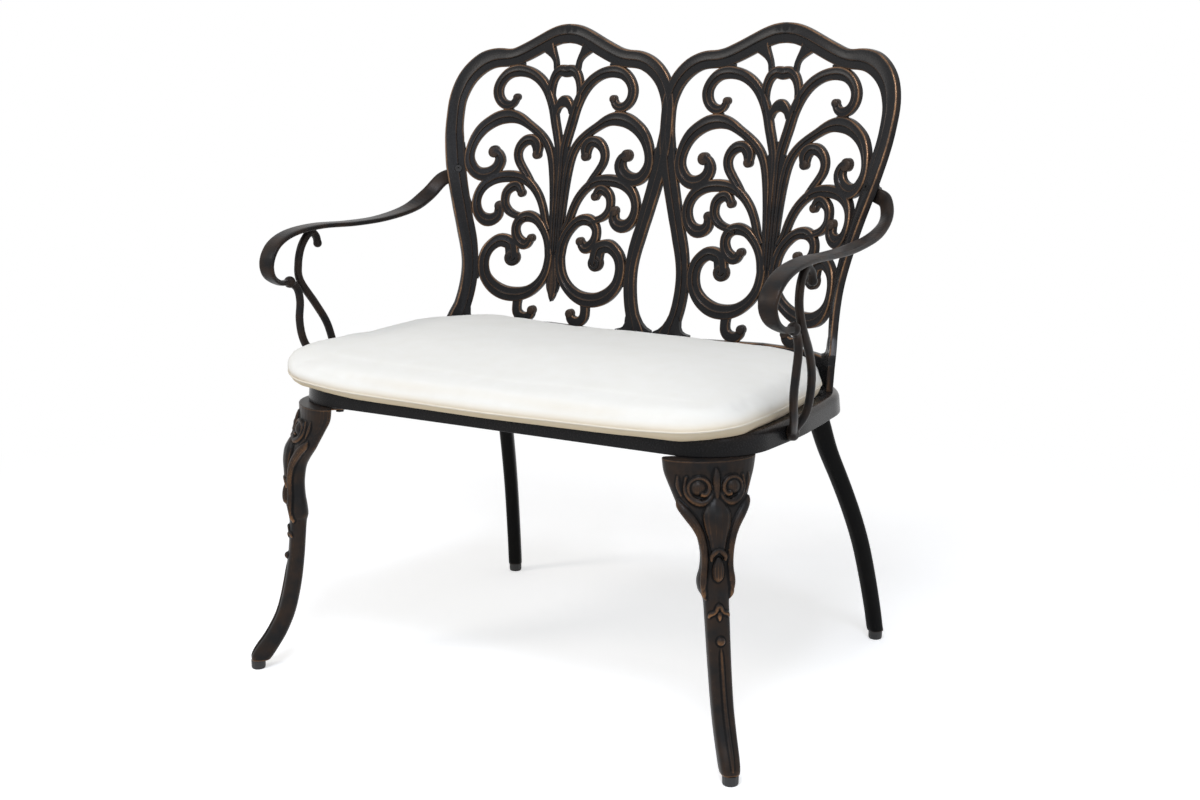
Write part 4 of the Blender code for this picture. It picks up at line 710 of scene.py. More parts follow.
# %% Blackened steel
STEEL_HAZE = 900.0                # soft patches in the shine of the steel, about this many in a metre
steel, tree, shader = new_material("blackened steel")
shader.inputs["Base Color"].default_value = linear("#1c1a19")
shader.inputs["Metallic"].default_value = 0.6
haze = speckle(tree, STEEL_HAZE, 2.0)
tree.links.new(ranged(tree, haze, 0.30, 0.48), shader.inputs["Roughness"])
print(steel.name, "with", len(tree.nodes), "nodes")

# %% Screws
SCREW_PROUD = 0.0042              # end of the screw past the tab of the arm
SCREW_REACH = (BACK_FRONT + BACK_REAR) * MM + 3 * SEAM + ARM_THICKNESS + SCREW_PROUD
for label, side in (("right", 1.0), ("left", -1.0)):
    flip = np.array([side, 1.0, 1.0])
    profile = [(SCREW_HEAD - 0.0004, SEAM), (SCREW_HEAD, SEAM + 0.0003),
               (SCREW_RADIUS, SCREW_SINK - 0.0002), (SCREW_RADIUS, SCREW_REACH)]
    screw = turned(label + "_flat_head_screw", profile, screw_face * flip, screw_axis * flip)
    socket = [(SOCKET_RADIUS, -OVERSHOOT), (SOCKET_RADIUS, SOCKET_DEPTH)]
    carved(screw, turned("socket", socket, screw_face * flip, screw_axis * flip, 6))
    pick(screw)
    bpy.ops.object.shade_smooth_by_angle(angle=math.radians(30))
    paint(screw, steel)
    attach(screw, "bench")
    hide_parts(label + "_arm_screw")
    print(screw.name, "at", np.round(screw_face * flip, 3))

# %% [markdown]
# ## Arms
# Each arm is a flat band that twists from its tab behind the upright to level at the rest, then curls under
# in front. Two round struts join the curl and the band to a foot on the rim. A curve with a bevel twists
# where it likes, so the band is swept through stations that hold its place, width and the direction of its
# width. A voxel remesh then melts the joints together as in a casting.

# %% Stations of the right arm
SIDE_HALF_WIDTH = 0.356
ARM_TAB_LEAN = math.radians(38)
ARM_REAR = [((0.0305, -0.0028, -0.0187), 0.022, 0.05), ((0.0410, -0.0253, -0.0402), 0.023, 0.35),
            ((0.0425, -0.0703, -0.0582), 0.025, 0.80)]
ARM_AHEAD = [((0.0215, 0.260, 0.0013), 0.027, 1.0), ((0.0220, 0.190, 0.0000), 0.028, 1.0),
             ((0.0255, 0.120, 0.0020), 0.028, 1.0), ((0.0275, 0.065, -0.0030), 0.027, 1.0),
             ((0.0275, 0.030, -0.0165), 0.026, 1.0), ((0.0265, 0.0135, -0.0385), 0.025, 1.0),
             ((0.0290, 0.020, -0.0590), 0.021, 1.0), ((0.0325, 0.043, -0.0713), 0.013, 1.0),
             ((0.0346, 0.062, -0.0730), 0.011, 1.0)]
ARM_BALL = (0.0346, 0.0676, -0.0733)
REAR_STRUT = [(0.0310, 0.1255, -0.0235), (0.0310, 0.122, -0.0125), (0.0300, 0.108, -0.0065),
              (0.0312, 0.0915, -0.0235), (0.0329, 0.085, -0.0485), (0.0350, 0.090, -0.0735),
              (0.0326, 0.117, -0.1085), (0.0283, 0.136, -0.1385), (0.0235, 0.1435, -0.1685),
              (0.0170, 0.1445, -0.1935)]
FRONT_STRUT = [ARM_BALL, (0.0330, 0.081, -0.0838), (0.0329, 0.086, -0.1035), (0.0322, 0.0826, -0.1285),
               (0.0292, 0.0842, -0.1535), (0.0250, 0.093, -0.1735), (0.0180, 0.110, -0.1935)]
STRUT_WIDTH = 0.0118
FOOT_PLACE = np.array((0.3545, FRONT_Y + 0.140, SEAT_TOP - 0.0151))
FOOT_LEAN = unit(np.array((0.017, 0.0, 0.0015)))


def arm_point(out, depth, up):
    """A point from metres outside the seat's side, behind its front and above the arm's rest."""
    return np.array((SIDE_HALF_WIDTH + out, FRONT_Y + depth, ARM_HEIGHT + up))


def rounded_box(points, squareness):
    """Points of a section between an ellipse (squareness 1) and a box (0): across and through."""
    turns = 2 * np.pi * (np.arange(points) + 0.5) / points
    return [np.sign(v) * np.abs(v) ** squareness for v in (np.cos(turns), np.sin(turns))]


def bar(name, path, across, half_widths, half_thick, points, squareness):
    """A rounded-box section swept along a path; across gives the direction of its width."""
    ahead = headings(path)
    across = unit(across - ahead * (across * ahead).sum(1, keepdims=True))
    thick = np.cross(ahead, across)
    p, q = rounded_box(points, squareness)
    rings = [centre + np.outer(p * w, a) + np.outer(q * h, t)
             for centre, a, t, w, h in zip(path, across, thick, half_widths, half_thick)]
    return skin(name, rings)


def ball(name, centre, radius):
    """A sphere with its place in its mesh."""
    bpy.ops.object.select_all(action="DESELECT")
    bpy.ops.mesh.primitive_uv_sphere_add(segments=24, ring_count=14, radius=radius, location=centre)
    piece = bpy.context.object
    piece.name = name
    bpy.ops.object.transform_apply(location=True, rotation=True, scale=True)
    return piece


print("front of the arm's rest at", np.round(arm_point(*ARM_AHEAD[2][0]), 3))

# %% Cast the arms
flat_way = unit(np.array((screw_axis[1], -screw_axis[0], 0.0)))
up_way = np.cross(screw_axis, flat_way)
up_way = up_way if up_way[2] > 0 else -up_way
tab_ahead = flat_way * math.cos(ARM_TAB_LEAN) - up_way * math.sin(ARM_TAB_LEAN)
tab_across = flat_way * math.sin(ARM_TAB_LEAN) + up_way * math.cos(ARM_TAB_LEAN)
tab_middle = screw_face + screw_axis * ((BACK_FRONT + BACK_REAR) * MM + 2 * SEAM + ARM_THICKNESS / 2)
stations = [(*(tab_middle + tab_ahead * step), width, *tab_across)
            for step, width in ((-0.0128, 0.012), (-0.0115, 0.018), (0.0, 0.021), (0.011, 0.021))]
drawn = [(screw_face + np.array(place), width, flat) for place, width, flat in ARM_REAR]
drawn += [(arm_point(*place), width, flat) for place, width, flat in ARM_AHEAD]
for place, width, flat in drawn:
    stations.append((*place, width, *unit(tab_across * (1 - flat) + np.array((flat, 0, 0)))))
rows = smooth_path(stations, 6)
half_thick = np.full(len(rows), ARM_THICKNESS / 2)
band = bar("arm_band", rows[:, :3], rows[:, 4:7], rows[:, 3] / 2, half_thick, 20, 0.42)

foot_end = FOOT_PLACE + FOOT_LEAN * 0.0055
parts = [band]
for label, drawn, shift in (("rear", REAR_STRUT, (0, 0.001, 0.002)),
                            ("front", FRONT_STRUT, (0, -0.002, 0.001))):
    rows = smooth_path([arm_point(*spot) for spot in drawn] + [foot_end + np.array(shift)], 6)
    sideways = np.tile(np.array((1.0, 0.0, 0.0)), (len(rows), 1))
    parts.append(bar(label + "_strut", rows, sideways, np.full(len(rows), STRUT_WIDTH * 0.45),
                     np.full(len(rows), STRUT_WIDTH * 0.5), 14, 0.9))
parts.append(turned("arm_foot", [(0.0095, 0.0), (0.0105, 0.0012), (0.0105, 0.007), (0.0098, 0.0085),
                                 (0.0074, 0.011)], FOOT_PLACE, FOOT_LEAN))
parts.append(ball("arm_ball", arm_point(*ARM_BALL), 0.0085))
parts.append(ball("strut_tip", arm_point(*REAR_STRUT[0]), 0.0064))
right_arm = fused("right_arm_casting", parts)
carved(right_arm, turned("screw_hole", [(SCREW_RADIUS + SEAM, -0.005), (SCREW_RADIUS + SEAM, 0.035)],
                         screw_face, screw_axis))
apply(right_arm, "REMESH", mode="VOXEL", voxel_size=0.0012, use_smooth_shade=True)
apply(right_arm, "SMOOTH", factor=0.5, iterations=3)
finish_pair(right_arm, burnished, "right_arm", 60.0)

# %% [markdown]
# ## Seat rim
# The rim is one section carried round the seat's outline: a leaning face, a rounded shoulder and a flat top.
# The outline is drawn as a person would with a compass, three rounded corners on each side, because a
# smooth curve through points would wander between them. Flat bars cross the opening and carry the pad.

# %% Outline of the seat
RIM_HEIGHT, RIM_WIDTH = 0.027, 0.022
RIM_SHOULDER, RIM_LEAN, RIM_DRAFT = 0.017, 0.0015, 0.0095
CORNERS = ((0.350, 0.0, 0.090), (0.356, 0.180, 0.400), (0.333, SEAT_DEPTH, 0.135))


def rounded_outline(corners, steps, straight):
    """Points and outward normals round the seat, from the middle of its front."""
    spots = [Vector((0.0, 0.0))] + [Vector(c[:2]) for c in corners] + [Vector((0.0, SEAT_DEPTH))]
    arcs = []
    right = []
    for k, count in enumerate(steps):
        before, corner, after = spots[k:k + 3]
        radius = corners[k][2]
        into, out = (before - corner).normalized(), (after - corner).normalized()
        half = into.angle(out) / 2
        centre = corner + (into + out).normalized() * (radius / math.sin(half))
        first = corner + into * (radius / math.tan(half)) - centre
        last = corner + out * (radius / math.tan(half)) - centre
        start, end = math.atan2(first.y, first.x), math.atan2(last.y, last.x)
        arcs.append((centre, radius))
        for turn in np.linspace(start, end, count + 1):
            normal = Vector((math.cos(turn), math.sin(turn)))
            right.append((*(centre + normal * radius), *normal))
    near = [(right[0][0] * k / straight, 0.0, 0.0, -1.0) for k in range(straight)]
    far = [(right[-1][0] * (1 - k / straight), SEAT_DEPTH, 0.0, 1.0) for k in range(1, straight + 1)]
    half_round = np.array(near + right + far)
    other = half_round[-2:0:-1] * np.array((-1.0, 1.0, -1.0, 1.0))
    return np.vstack([half_round, other]), arcs


outline, arcs = rounded_outline(CORNERS, (16, 8, 18), 8)
(front_arc, front_radius), _, (rear_arc, rear_radius) = arcs
print("outline of", len(outline), "points")

# %% Section of the rim
section = [(-0.0006, 0.0), (0.0, 0.0006), (-RIM_LEAN * 0.5, RIM_SHOULDER * 0.5), (-RIM_LEAN, RIM_SHOULDER)]
for turn in np.radians((20, 40, 60, 80)):
    section.append((-RIM_LEAN - (RIM_DRAFT - RIM_LEAN) * (1 - math.cos(turn)),
                    RIM_SHOULDER + (RIM_HEIGHT - RIM_SHOULDER) * math.sin(turn)))
section += [(-RIM_DRAFT - 0.001, RIM_HEIGHT), (-RIM_DRAFT - 0.0014, RIM_HEIGHT),
            (-RIM_WIDTH + 0.001, RIM_HEIGHT), (-RIM_WIDTH, RIM_HEIGHT - 0.001),
            (-RIM_WIDTH + 0.002, 0.002), (-RIM_WIDTH + 0.004, 0.0)]
rim_rub = [0.0] * 4 + [0.02, 0.04, 0.08, 0.15, 0.1] + [0.0] * 5      # most on the shoulder
rings = []
for x, y, nx, ny in outline:
    rings.append([(x + nx * out, FRONT_Y + y + ny * out, LEG_TOP + up) for out, up in section])
rim = skin("rim", rings, closed=True, rub=rim_rub)
print("rim of", len(rings), "rings,", len(section), "points each")

# %% Deck bars
DECK_THICKNESS, DECK_BAR = 0.006, 0.009
DECK_LONG_BARS, DECK_CROSS_BARS = 3, 11
DECK_DROP = 0.0012                # bars below the top of the rim, so the pad rests on the rim
REACH = RIM_WIDTH * 0.55          # bars end this far inside the rim's outline
EASED = 0.0009                    # bevel on the bars and plates


def block(name, middle, size, turn=0.0):
    """A box with eased edges, turned about the vertical."""
    bpy.ops.object.select_all(action="DESELECT")
    bpy.ops.mesh.primitive_cube_add(size=1, location=middle, rotation=(0, 0, turn), scale=size)
    piece = bpy.context.object
    piece.name = name
    bpy.ops.object.transform_apply(location=True, rotation=True, scale=True)
    apply(piece, "BEVEL", width=EASED, segments=2)
    return piece


deck_top = SEAT_TOP - DECK_DROP
deck = [rim]
for k in range(DECK_LONG_BARS):
    y = SEAT_DEPTH * (k + 1) / (DECK_LONG_BARS + 1)
    sides = outline[np.abs(outline[:, 1] - y).argsort()[:2], 0]
    half = np.abs(sides).max() - REACH
    deck.append(block("long_bar", (0, FRONT_Y + y, deck_top - DECK_THICKNESS / 2),
                      (2 * half, DECK_BAR, DECK_THICKNESS)))
for k in range(DECK_CROSS_BARS):
    x = -CORNERS[0][0] + 2 * CORNERS[0][0] * (k + 1) / (DECK_CROSS_BARS + 1)
    near = front_arc.y - math.sqrt(front_radius ** 2 - max(abs(x) - front_arc.x, 0) ** 2) + REACH
    far = rear_arc.y + math.sqrt(rear_radius ** 2 - max(abs(x) - rear_arc.x, 0) ** 2) - REACH
    deck.append(block("cross_bar", (x, FRONT_Y + (near + far) / 2, deck_top - DECK_THICKNESS / 2),
                      (DECK_BAR, far - near, DECK_THICKNESS - 0.0016)))
print("deck of", len(deck) - 1, "bars")

# %% [markdown]
# ## Corner plates
# Each leg bolts to a plate in its corner of the deck, with two bosses for the bolts. The plates are found
# from the same corner arcs as the rim, and each leg takes its place and direction from its plate.

# %% Corner plates and legs' places
FLANGE_REACH, FLANGE_HALF, FLANGE_THICKNESS = 0.052, 0.030, 0.007
BOSS_RADIUS, BOLT_SPACING = 0.009, 0.034
FRONT_ANGLE, FRONT_FACING_TURN = math.radians(34), math.radians(45)
REAR_ANGLE, REAR_INSET = math.radians(25.7), 0.0065
front_top = np.array((front_arc.x + front_radius * math.sin(FRONT_ANGLE),
                      FRONT_Y + front_arc.y - front_radius * math.cos(FRONT_ANGLE), 0.0))
front_facing = np.array((math.sin(FRONT_FACING_TURN), -math.cos(FRONT_FACING_TURN), 0.0))
front_across = np.array((math.cos(FRONT_FACING_TURN), math.sin(FRONT_FACING_TURN), 0.0))
rear_facing = np.array((math.sin(REAR_ANGLE), math.cos(REAR_ANGLE), 0.0))
rear_across = np.array((math.cos(REAR_ANGLE), -math.sin(REAR_ANGLE), 0.0))
rear_top = np.array((rear_arc.x, FRONT_Y + rear_arc.y, 0.0)) + rear_facing * (rear_radius - REAR_INSET)
LEG_FRAMES = ((front_top, front_facing, front_across, 0.038), (rear_top, rear_facing, rear_across, 0.034))
FLANGE_LENGTH = FLANGE_REACH - RIM_WIDTH * 0.7
plates = []
for top, facing, across, bolt_inset in LEG_FRAMES:
    middle = top - facing * (FLANGE_REACH - FLANGE_LENGTH / 2)
    turn = math.atan2(across[1], across[0])
    plates.append(block("corner_plate", middle + np.array((0, 0, deck_top - 0.0004 - DECK_THICKNESS / 2)),
                        (FLANGE_HALF * 2, FLANGE_LENGTH, DECK_THICKNESS), turn))
    for side in (-0.5, 0.5):
        spot = top - facing * bolt_inset + across * (BOLT_SPACING * side)
        boss = [(BOSS_RADIUS, LEG_TOP), (BOSS_RADIUS, deck_top - 0.002)]
        plates.append(turned("boss", boss, spot, (0, 0, 1)))
plates += [mirrored(plate, "left_" + plate.name) for plate in plates]
seat = fused("seat_rim_casting", deck + plates)
finish_casting(seat, bronze, "seat_frame", 32.0)

# %% [markdown]
# ## Front legs
# A cabriole leg: a wide bracket under the rim, a narrow neck, a knee and a slender shin. The bracket carries
# two volutes, each a rim that winds in to a domed boss. Two wings run down from notches in its sides, and a
# hood, a drop, a small three-pointed ornament and a knob follow below. Sculpting would do, but can't be
# repeated by a script, so the relief is drawn as tubes that lie on the face of the leg. Then everything is
# fused and remeshed so that the forms melt together like a casting.

# %% Form of the front leg
leg_high = LEG_TOP - SEAM
SOLE = 0.0128
# height as a share of the leg, then in millimetres: outward from the corner, half depth, half width, bow of
# the face and place along the rim
FRONT_LEG = [(1.000, -1, 17.5, 58.5, 15, -0.5), (0.955, 0, 17, 56, 14, -1),
             (0.915, 4.5, 16.5, 50.5, 11, -2), (0.870, 10.5, 16, 44, 8, -3),
             (0.845, 13.5, 15.5, 40, 6, -3.5), (0.805, 19, 14.2, 29, 3, -3.8),
             (0.770, 22.5, 13, 22.5, 1, -3.8), (0.715, 24.5, 12.2, 18.5, 0, -3.6),
             (0.665, 24, 12, 19, 0, -3.4), (0.625, 23.5, 13.5, 22.5, 0, -3.2),
             (0.590, 23, 14, 21, 0, -2.6), (0.560, 23.5, 12, 16, 0, -1.6),
             (0.500, 25, 11.4, 15.3, 0, -0.4), (0.420, 28, 11.6, 14.8, 0, 0.6),
             (0.320, 34, 12.2, 14.2, 0, 1.4), (0.215, 44, 12.8, 13.7, 0, 1.8),
             (0.135, 58.5, 14.5, 13.4, 0, 1.5), (0.085, 71.5, 16, 13, 0, 0.8),
             (0.052, 79.5, 15.5, 12.5, 0, 0.2), (0.034, 82.5, 13, 11.5, 0, 0)]
SQUARENESS = 0.72
CURL_SIDE, CURL_UP = 20.5, 0.3475     # middle of a volute: millimetres to the side, metres up
leg_rows = smooth_path(FRONT_LEG, 4)[::-1]


def leg_row(z):
    """The leg's measures at a height."""
    return [float(np.interp(z / leg_high, leg_rows[:, 0], leg_rows[:, k])) for k in range(1, 6)]


def leg_spot(out, side, z):
    """A point from millimetres outward from the corner and to its side."""
    return front_top + front_facing * (out * MM) + front_across * (side * MM) + np.array((0, 0, z))


def on_face(side, z, lift=0.0):
    """A point on the face of the leg: millimetres to the side, metres up, millimetres proud."""
    out, depth, width, bow, along = leg_row(z)
    s = min(abs(side) / width, 0.96)
    proud = out + depth * (1 - s ** (2 / SQUARENESS)) ** (SQUARENESS / 2) - bow * s * s + lift
    return leg_spot(proud, side + along, z)


def relief(name, rows, lift=0.0, flat=1.0, steps=4):
    """A tube on the face of the leg from rows of (side, height, radius in millimetres)."""
    rows = smooth_path(rows, steps)
    path = np.array([on_face(side, z, lift) for side, z, radius in rows])
    radii = rows[:, 2] * MM
    sideways = unit(np.cross(headings(path), np.tile(front_facing, (len(path), 1))))
    return bar(name, path, sideways, radii, radii * flat, 12, 1.0)


def volute(name, side, turns=0.95):
    """A rim that leaves its boss at the bottom and winds round it."""
    count = int(18 * turns)
    share = np.arange(count + 1) / count
    angle = np.radians(-70) + share * turns * 2 * np.pi
    reach = 12.6 - 7.0 * np.exp(-9.0 * share)
    rows = [(side * (CURL_SIDE - r * math.cos(a)), CURL_UP + r * math.sin(a) * MM, 3.0 - 1.2 * s)
            for r, a, s in zip(reach, angle, share)]
    return relief(name, rows, lift=1.8, steps=2)


print("leg drawn with", len(leg_rows), "rings")

# %% Relief on the front leg
# name, millimetres proud of the face, flatness, and rows of side in millimetres, height in metres and radius
# in millimetres; the paired forms are drawn for one side
PAIRED_RELIEF = [
    ("lobe", 0.8, 1.0, [(35.5, 0.361, 1.2), (37, 0.347, 2.0), (31.5, 0.3365, 3.0), (20.5, 0.3312, 3.8),
                        (10, 0.3345, 3.4), (4, 0.344, 1.6)]),
    ("leaf", 0.0, 1.0, [(44.5, 0.361, 0.8), (43.5, 0.350, 2.8), (40, 0.338, 0.8)]),
    ("wing", 1.8, 0.9, [(44.5, 0.3345, 1.4), (41.5, 0.3275, 5.0), (33, 0.3165, 6.2), (24.5, 0.304, 5.8),
                        (19, 0.290, 5.0), (16, 0.272, 4.4), (16, 0.254, 4.2), (18, 0.238, 4.2),
                        (18, 0.226, 2.6), (16, 0.221, 1.0)]),
    ("knee_curl", 0.4, 1.0, [(17, 0.236, 1.2), (17.5, 0.227, 3.4), (16.5, 0.219, 3.2), (14.5, 0.2135, 1.2)])]
MIDDLE_RELIEF = [
    ("stem", 0.6, 1.0, [(0, 0.371, 1.0), (0, 0.362, 4.2), (0, 0.347, 4.6), (0, 0.334, 2.4)]),
    ("nose", -1.0, 0.55, [(0, 0.343, 1.5), (0, 0.335, 7.0), (0, 0.327, 13.0), (0, 0.317, 17.5),
                          (0, 0.304, 16.0), (0, 0.288, 11.5), (0, 0.273, 8.8)]),
    ("hood", 2.4, 1.0, [(-8.4, 0.2630, 1.6), (-8.0, 0.2700, 2.7), (0, 0.2767, 3.4), (8.0, 0.2700, 2.7),
                        (8.4, 0.2630, 1.6)]),
    ("drop", 0.8, 1.0, [(0, 0.268, 2.4), (0, 0.260, 6.2), (0, 0.2505, 7.6), (0, 0.242, 6.2),
                        (0, 0.2375, 2.2)]),
    ("points", 0.6, 1.0, [(-13, 0.1915, 1.2), (-10.5, 0.196, 2.7), (-5, 0.1985, 2.0), (0, 0.206, 2.9),
                          (5, 0.1985, 2.0), (10.5, 0.196, 2.7), (13, 0.1915, 1.2)]),
    ("point_drop", 0.6, 1.0, [(0, 0.198, 1.4), (0, 0.1935, 2.8), (0, 0.188, 1.0)])]
SHIN_RIDGE = [(0, 0.156, 1.0), (0, 0.140, 2.4), (0, 0.100, 2.6),
              (0, 0.060, 2.8), (0, 0.030, 2.6), (0, 0.018, 1.6)]
relief_parts = []
for side in (-1, 1):
    relief_parts.append(volute("volute", side))
    relief_parts.append(ball("volute_eye", on_face(side * CURL_SIDE, CURL_UP, -5.6), 0.0112))
    for name, lift, flat, rows in PAIRED_RELIEF:
        relief_parts.append(relief(name, [(side * x, z, radius) for x, z, radius in rows], lift, flat))
relief_parts += [relief(name, rows, lift, flat) for name, lift, flat, rows in MIDDLE_RELIEF]
relief_parts.append(ball("knob", on_face(0, 0.1625, -0.4), 0.0054))
relief_parts.append(relief("shin_ridge", SHIN_RIDGE, lift=-0.9))
print("relief of", len(relief_parts), "forms")

# %% Cast the front legs
p, q = rounded_box(36, SQUARENESS)
rings = []
for share, out, depth, width, bow, along in leg_rows:
    z = max(share * leg_high, SOLE)
    rings.append([leg_spot(out + depth * b - bow * a * a, width * a + along, z) for a, b in zip(p, q)])
body = skin("leg_body", rings)


def flange(name, top, facing, across):
    """The plate on top of a leg that bolts to its corner plate."""
    middle = top - facing * (FLANGE_REACH - FLANGE_LENGTH / 2)
    middle = middle + np.array((0, 0, leg_high - FLANGE_THICKNESS / 2))
    turn = math.atan2(across[1], across[0])
    return block(name, middle, (FLANGE_HALF * 2, FLANGE_LENGTH, FLANGE_THICKNESS), turn)


parts = [body, flange("leg_flange", *LEG_FRAMES[0][:3])] + relief_parts
front_right = fused("front_right_leg_casting", parts)
apply(front_right, "REMESH", mode="VOXEL", voxel_size=0.0010, use_smooth_shade=True)
apply(front_right, "SMOOTH", factor=0.5, iterations=2)
mark_rub(front_right, 2, 30.0, 120.0)
finish_pair(front_right, burnished, "front_right_leg", 60.0)

# %% [markdown]
# ## Rear legs
# The rear legs are plain sabre legs that sweep back. A bevelled curve would give them one size of section, so
# they are a row of rings too, each a rounded box that gets smaller towards the floor.

# %% Cast the rear legs
REAR_SPLAY = 131.5
# height as a share of the leg, share of the splay, half depth and half width in millimetres
REAR_LEG = [(1.00, 0.000, 17, 15), (0.95, 0.040, 16, 13.5), (0.89, 0.110, 15.2, 12),
            (0.79, 0.225, 14.4, 11.2), (0.66, 0.415, 13.6, 11), (0.53, 0.590, 13, 10.9),
            (0.40, 0.735, 12.4, 10.8), (0.26, 0.850, 11.9, 10.8), (0.13, 0.940, 11.4, 10.8),
            (0.05, 0.985, 11.2, 10.8), (0.034, 1.000, 10.9, 10.6)]
rings = []
for share, splay, depth, width in smooth_path(REAR_LEG, 4):
    z = max(share * leg_high, SOLE)
    centre = rear_top + rear_facing * (splay * REAR_SPLAY * MM) + np.array((0, 0, z))
    rings.append([centre + rear_across * (width * a * MM) + rear_facing * (depth * b * MM)
                  for a, b in zip(p, q)])
body = skin("rear_leg_body", rings)
rear_right = fused("rear_right_leg_casting", [body, flange("rear_flange", *LEG_FRAMES[1][:3])])
# the darker copy of the paint is painted shade under the seat
finish_pair(rear_right, shade_darkened_bronze, "rear_right_leg", 32.0)

# %% [markdown]
# ## Glides and fasteners
# The plastic glides, bolts and nuts are small, plain and mostly hidden, so they keep the shapes of the packed
# bench and are only given their finishes.

# %% Plastic and steel
PLASTIC_HAZE_MM = 2.0             # soft patches in the shine of the moulded plastic
plastic, tree, shader = new_material("black moulded plastic")
shader.inputs["Base Color"].default_value = linear("#1b1a1a")
haze = speckle(tree, 1 / (PLASTIC_HAZE_MM * MM), 2.0)
tree.links.new(ranged(tree, haze, 0.42, 0.6), shader.inputs["Roughness"])
kept = []
for name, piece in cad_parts.items():
    if name.endswith("_glide"):
        paint(piece, plastic)
        kept.append(name)
    elif "bolt" in name or name.endswith("_nut"):
        paint(piece, steel)
        kept.append(name)
print("kept from the packed bench:", len(kept))

# %% [markdown]
# ## The seat pad
# A loose pad is a sewn cover round a sheet of foam. A smoothed box would look like a bar of soap, so the
# packed pad is remeshed evenly, its front edge is laid thin over the rim, and its top is evened out as foam
# under canvas would be. Cloth simulation with a little pressure then fills it, held within a few millimetres
# of that shape. The cream cover is painted tan along its lower edge, as painted shade with warm light bounced
# from below, and the sewn welt is added last.

# %% Canvas
CANVAS_THREAD_MM = 1.6       # drawn about twice as coarse as the real weave
WAVE_PERIOD = 0.31           # a wave texture of scale 1 repeats after about this length
SLUB_MM = 25.0               # soft patches where the yarn is thicker or thinner
canvas, tree, shader = new_material("cream polyester canvas")
spot = add_node(tree, "ShaderNodeTexCoord").outputs["Object"]
threads = {"Vector": spot, "Scale": WAVE_PERIOD / (CANVAS_THREAD_MM * MM)}
warp = add_node(tree, "ShaderNodeTexWave", threads, bands_direction="X")
weft = add_node(tree, "ShaderNodeTexWave", threads, bands_direction="Y")
weave = joined(tree, "MAXIMUM", warp.outputs["Fac"], weft.outputs["Fac"])
cream = mixed(tree, speckle(tree, 1 / (SLUB_MM * MM), 4.0), linear("#f7f5ef"), linear("#f1eee5"))
# the tan mixed in here is painted shade and warm bounce light along the pad's lower edge
shade_tan_cream = mixed(tree, attribute(tree, "low"), cream, linear("#d6bf94"))
tree.links.new(shade_tan_cream, shader.inputs["Base Color"])
bump = add_node(tree, "ShaderNodeBump", {"Height": weave, "Strength": 0.12, "Distance": 0.0004})
tree.links.new(bump.outputs[0], shader.inputs["Normal"])
shader.inputs["Roughness"].default_value = 0.85
shader.inputs["Sheen Weight"].default_value = 0.15
print(canvas.name, "with", len(tree.nodes), "nodes")

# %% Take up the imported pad
PAD_VOXEL = 0.0056
bearings = np.radians(np.arange(0, 360, 1.5))
OUTWARD = np.stack([np.cos(bearings), np.sin(bearings)])     # directions all round the pad, as columns


def move_points(piece, rows):
    """Puts the points of a piece at rows of places."""
    piece.data.vertices.foreach_set("co", rows.astype(np.float32).ravel())
    piece.data.update()


def ease(value):
    """A soft step from 0 to 1."""
    value = np.clip(value, 0.0, 1.0)
    return value * value * (3 - 2 * value)


pick(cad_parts["cushion"])
bpy.ops.object.duplicate()
pad = bpy.context.object
pad.name = "canvas_pad"
pad.data = pad.data.copy()
apply(pad, "REMESH", mode="VOXEL", voxel_size=PAD_VOXEL, use_smooth_shade=True)
apply(pad, "SMOOTH", factor=0.5, iterations=4)
spots = points_of(pad)
pad_reach = (spots[:, :2] @ OUTWARD).max(0)
pad_front = spots[:, 1].min()
print("pad remeshed to", len(spots), "points")

# %% Edge of the pad
PAD_DROOP = 0.014            # front lip below the top of the rim
DROOP_START, DROOP_RUN = 0.025, 0.015     # the droop's start inside the edge, and the length it takes
# share of the pad's height left at its edge, by the direction in which the edge looks
EDGE_SHARE = {-180: 1.0, -150: 0.85, -125: 0.55, -90: 0.42, -45: 0.45, 0: 0.62, 45: 0.85, 90: 1.0, 180: 1.0}
RIGHT_LIFT = 0.15            # share of the droop that is lost at the right end


def pad_edge(rows):
    """For places on the pad: distance inside its edge, height of its underside and share of height kept."""
    gaps = pad_reach - rows[:, :2] @ OUTWARD
    inside = gaps.min(1)
    near = np.exp(-(gaps - inside[:, None]) / 0.02)
    facing = (near @ OUTWARD.T) / near.sum(1, keepdims=True)
    clear = np.linalg.norm(facing, axis=1)
    turn = np.degrees(np.arctan2(facing[:, 1], facing[:, 0]))
    edge = 1 - clear * (1 - np.interp(turn, list(EDGE_SHARE), list(EDGE_SHARE.values())))
    front = np.maximum(-facing[:, 1], 0) ** 2 * np.maximum(1 - (np.abs(rows[:, 0]) / CORNERS[0][0]) ** 6, 0)
    front *= 1 - RIGHT_LIFT * ease(rows[:, 0] / 0.30)
    under = SEAT_TOP + SEAM - PAD_DROOP * front * ease((DROOP_START - inside) / DROOP_RUN)
    return inside, under, edge


def settle(piece, weight, rounds):
    """Evens out the heights of neighbouring points, as foam under canvas does."""
    rows = points_of(piece)
    a, b = edges_of(piece)
    touching = np.bincount(a, minlength=len(rows)) + np.bincount(b, minlength=len(rows))
    for _ in range(rounds):
        around = np.bincount(a, rows[b, 2], len(rows)) + np.bincount(b, rows[a, 2], len(rows))
        rows[:, 2] += weight * (around / touching - rows[:, 2])
    move_points(piece, rows)


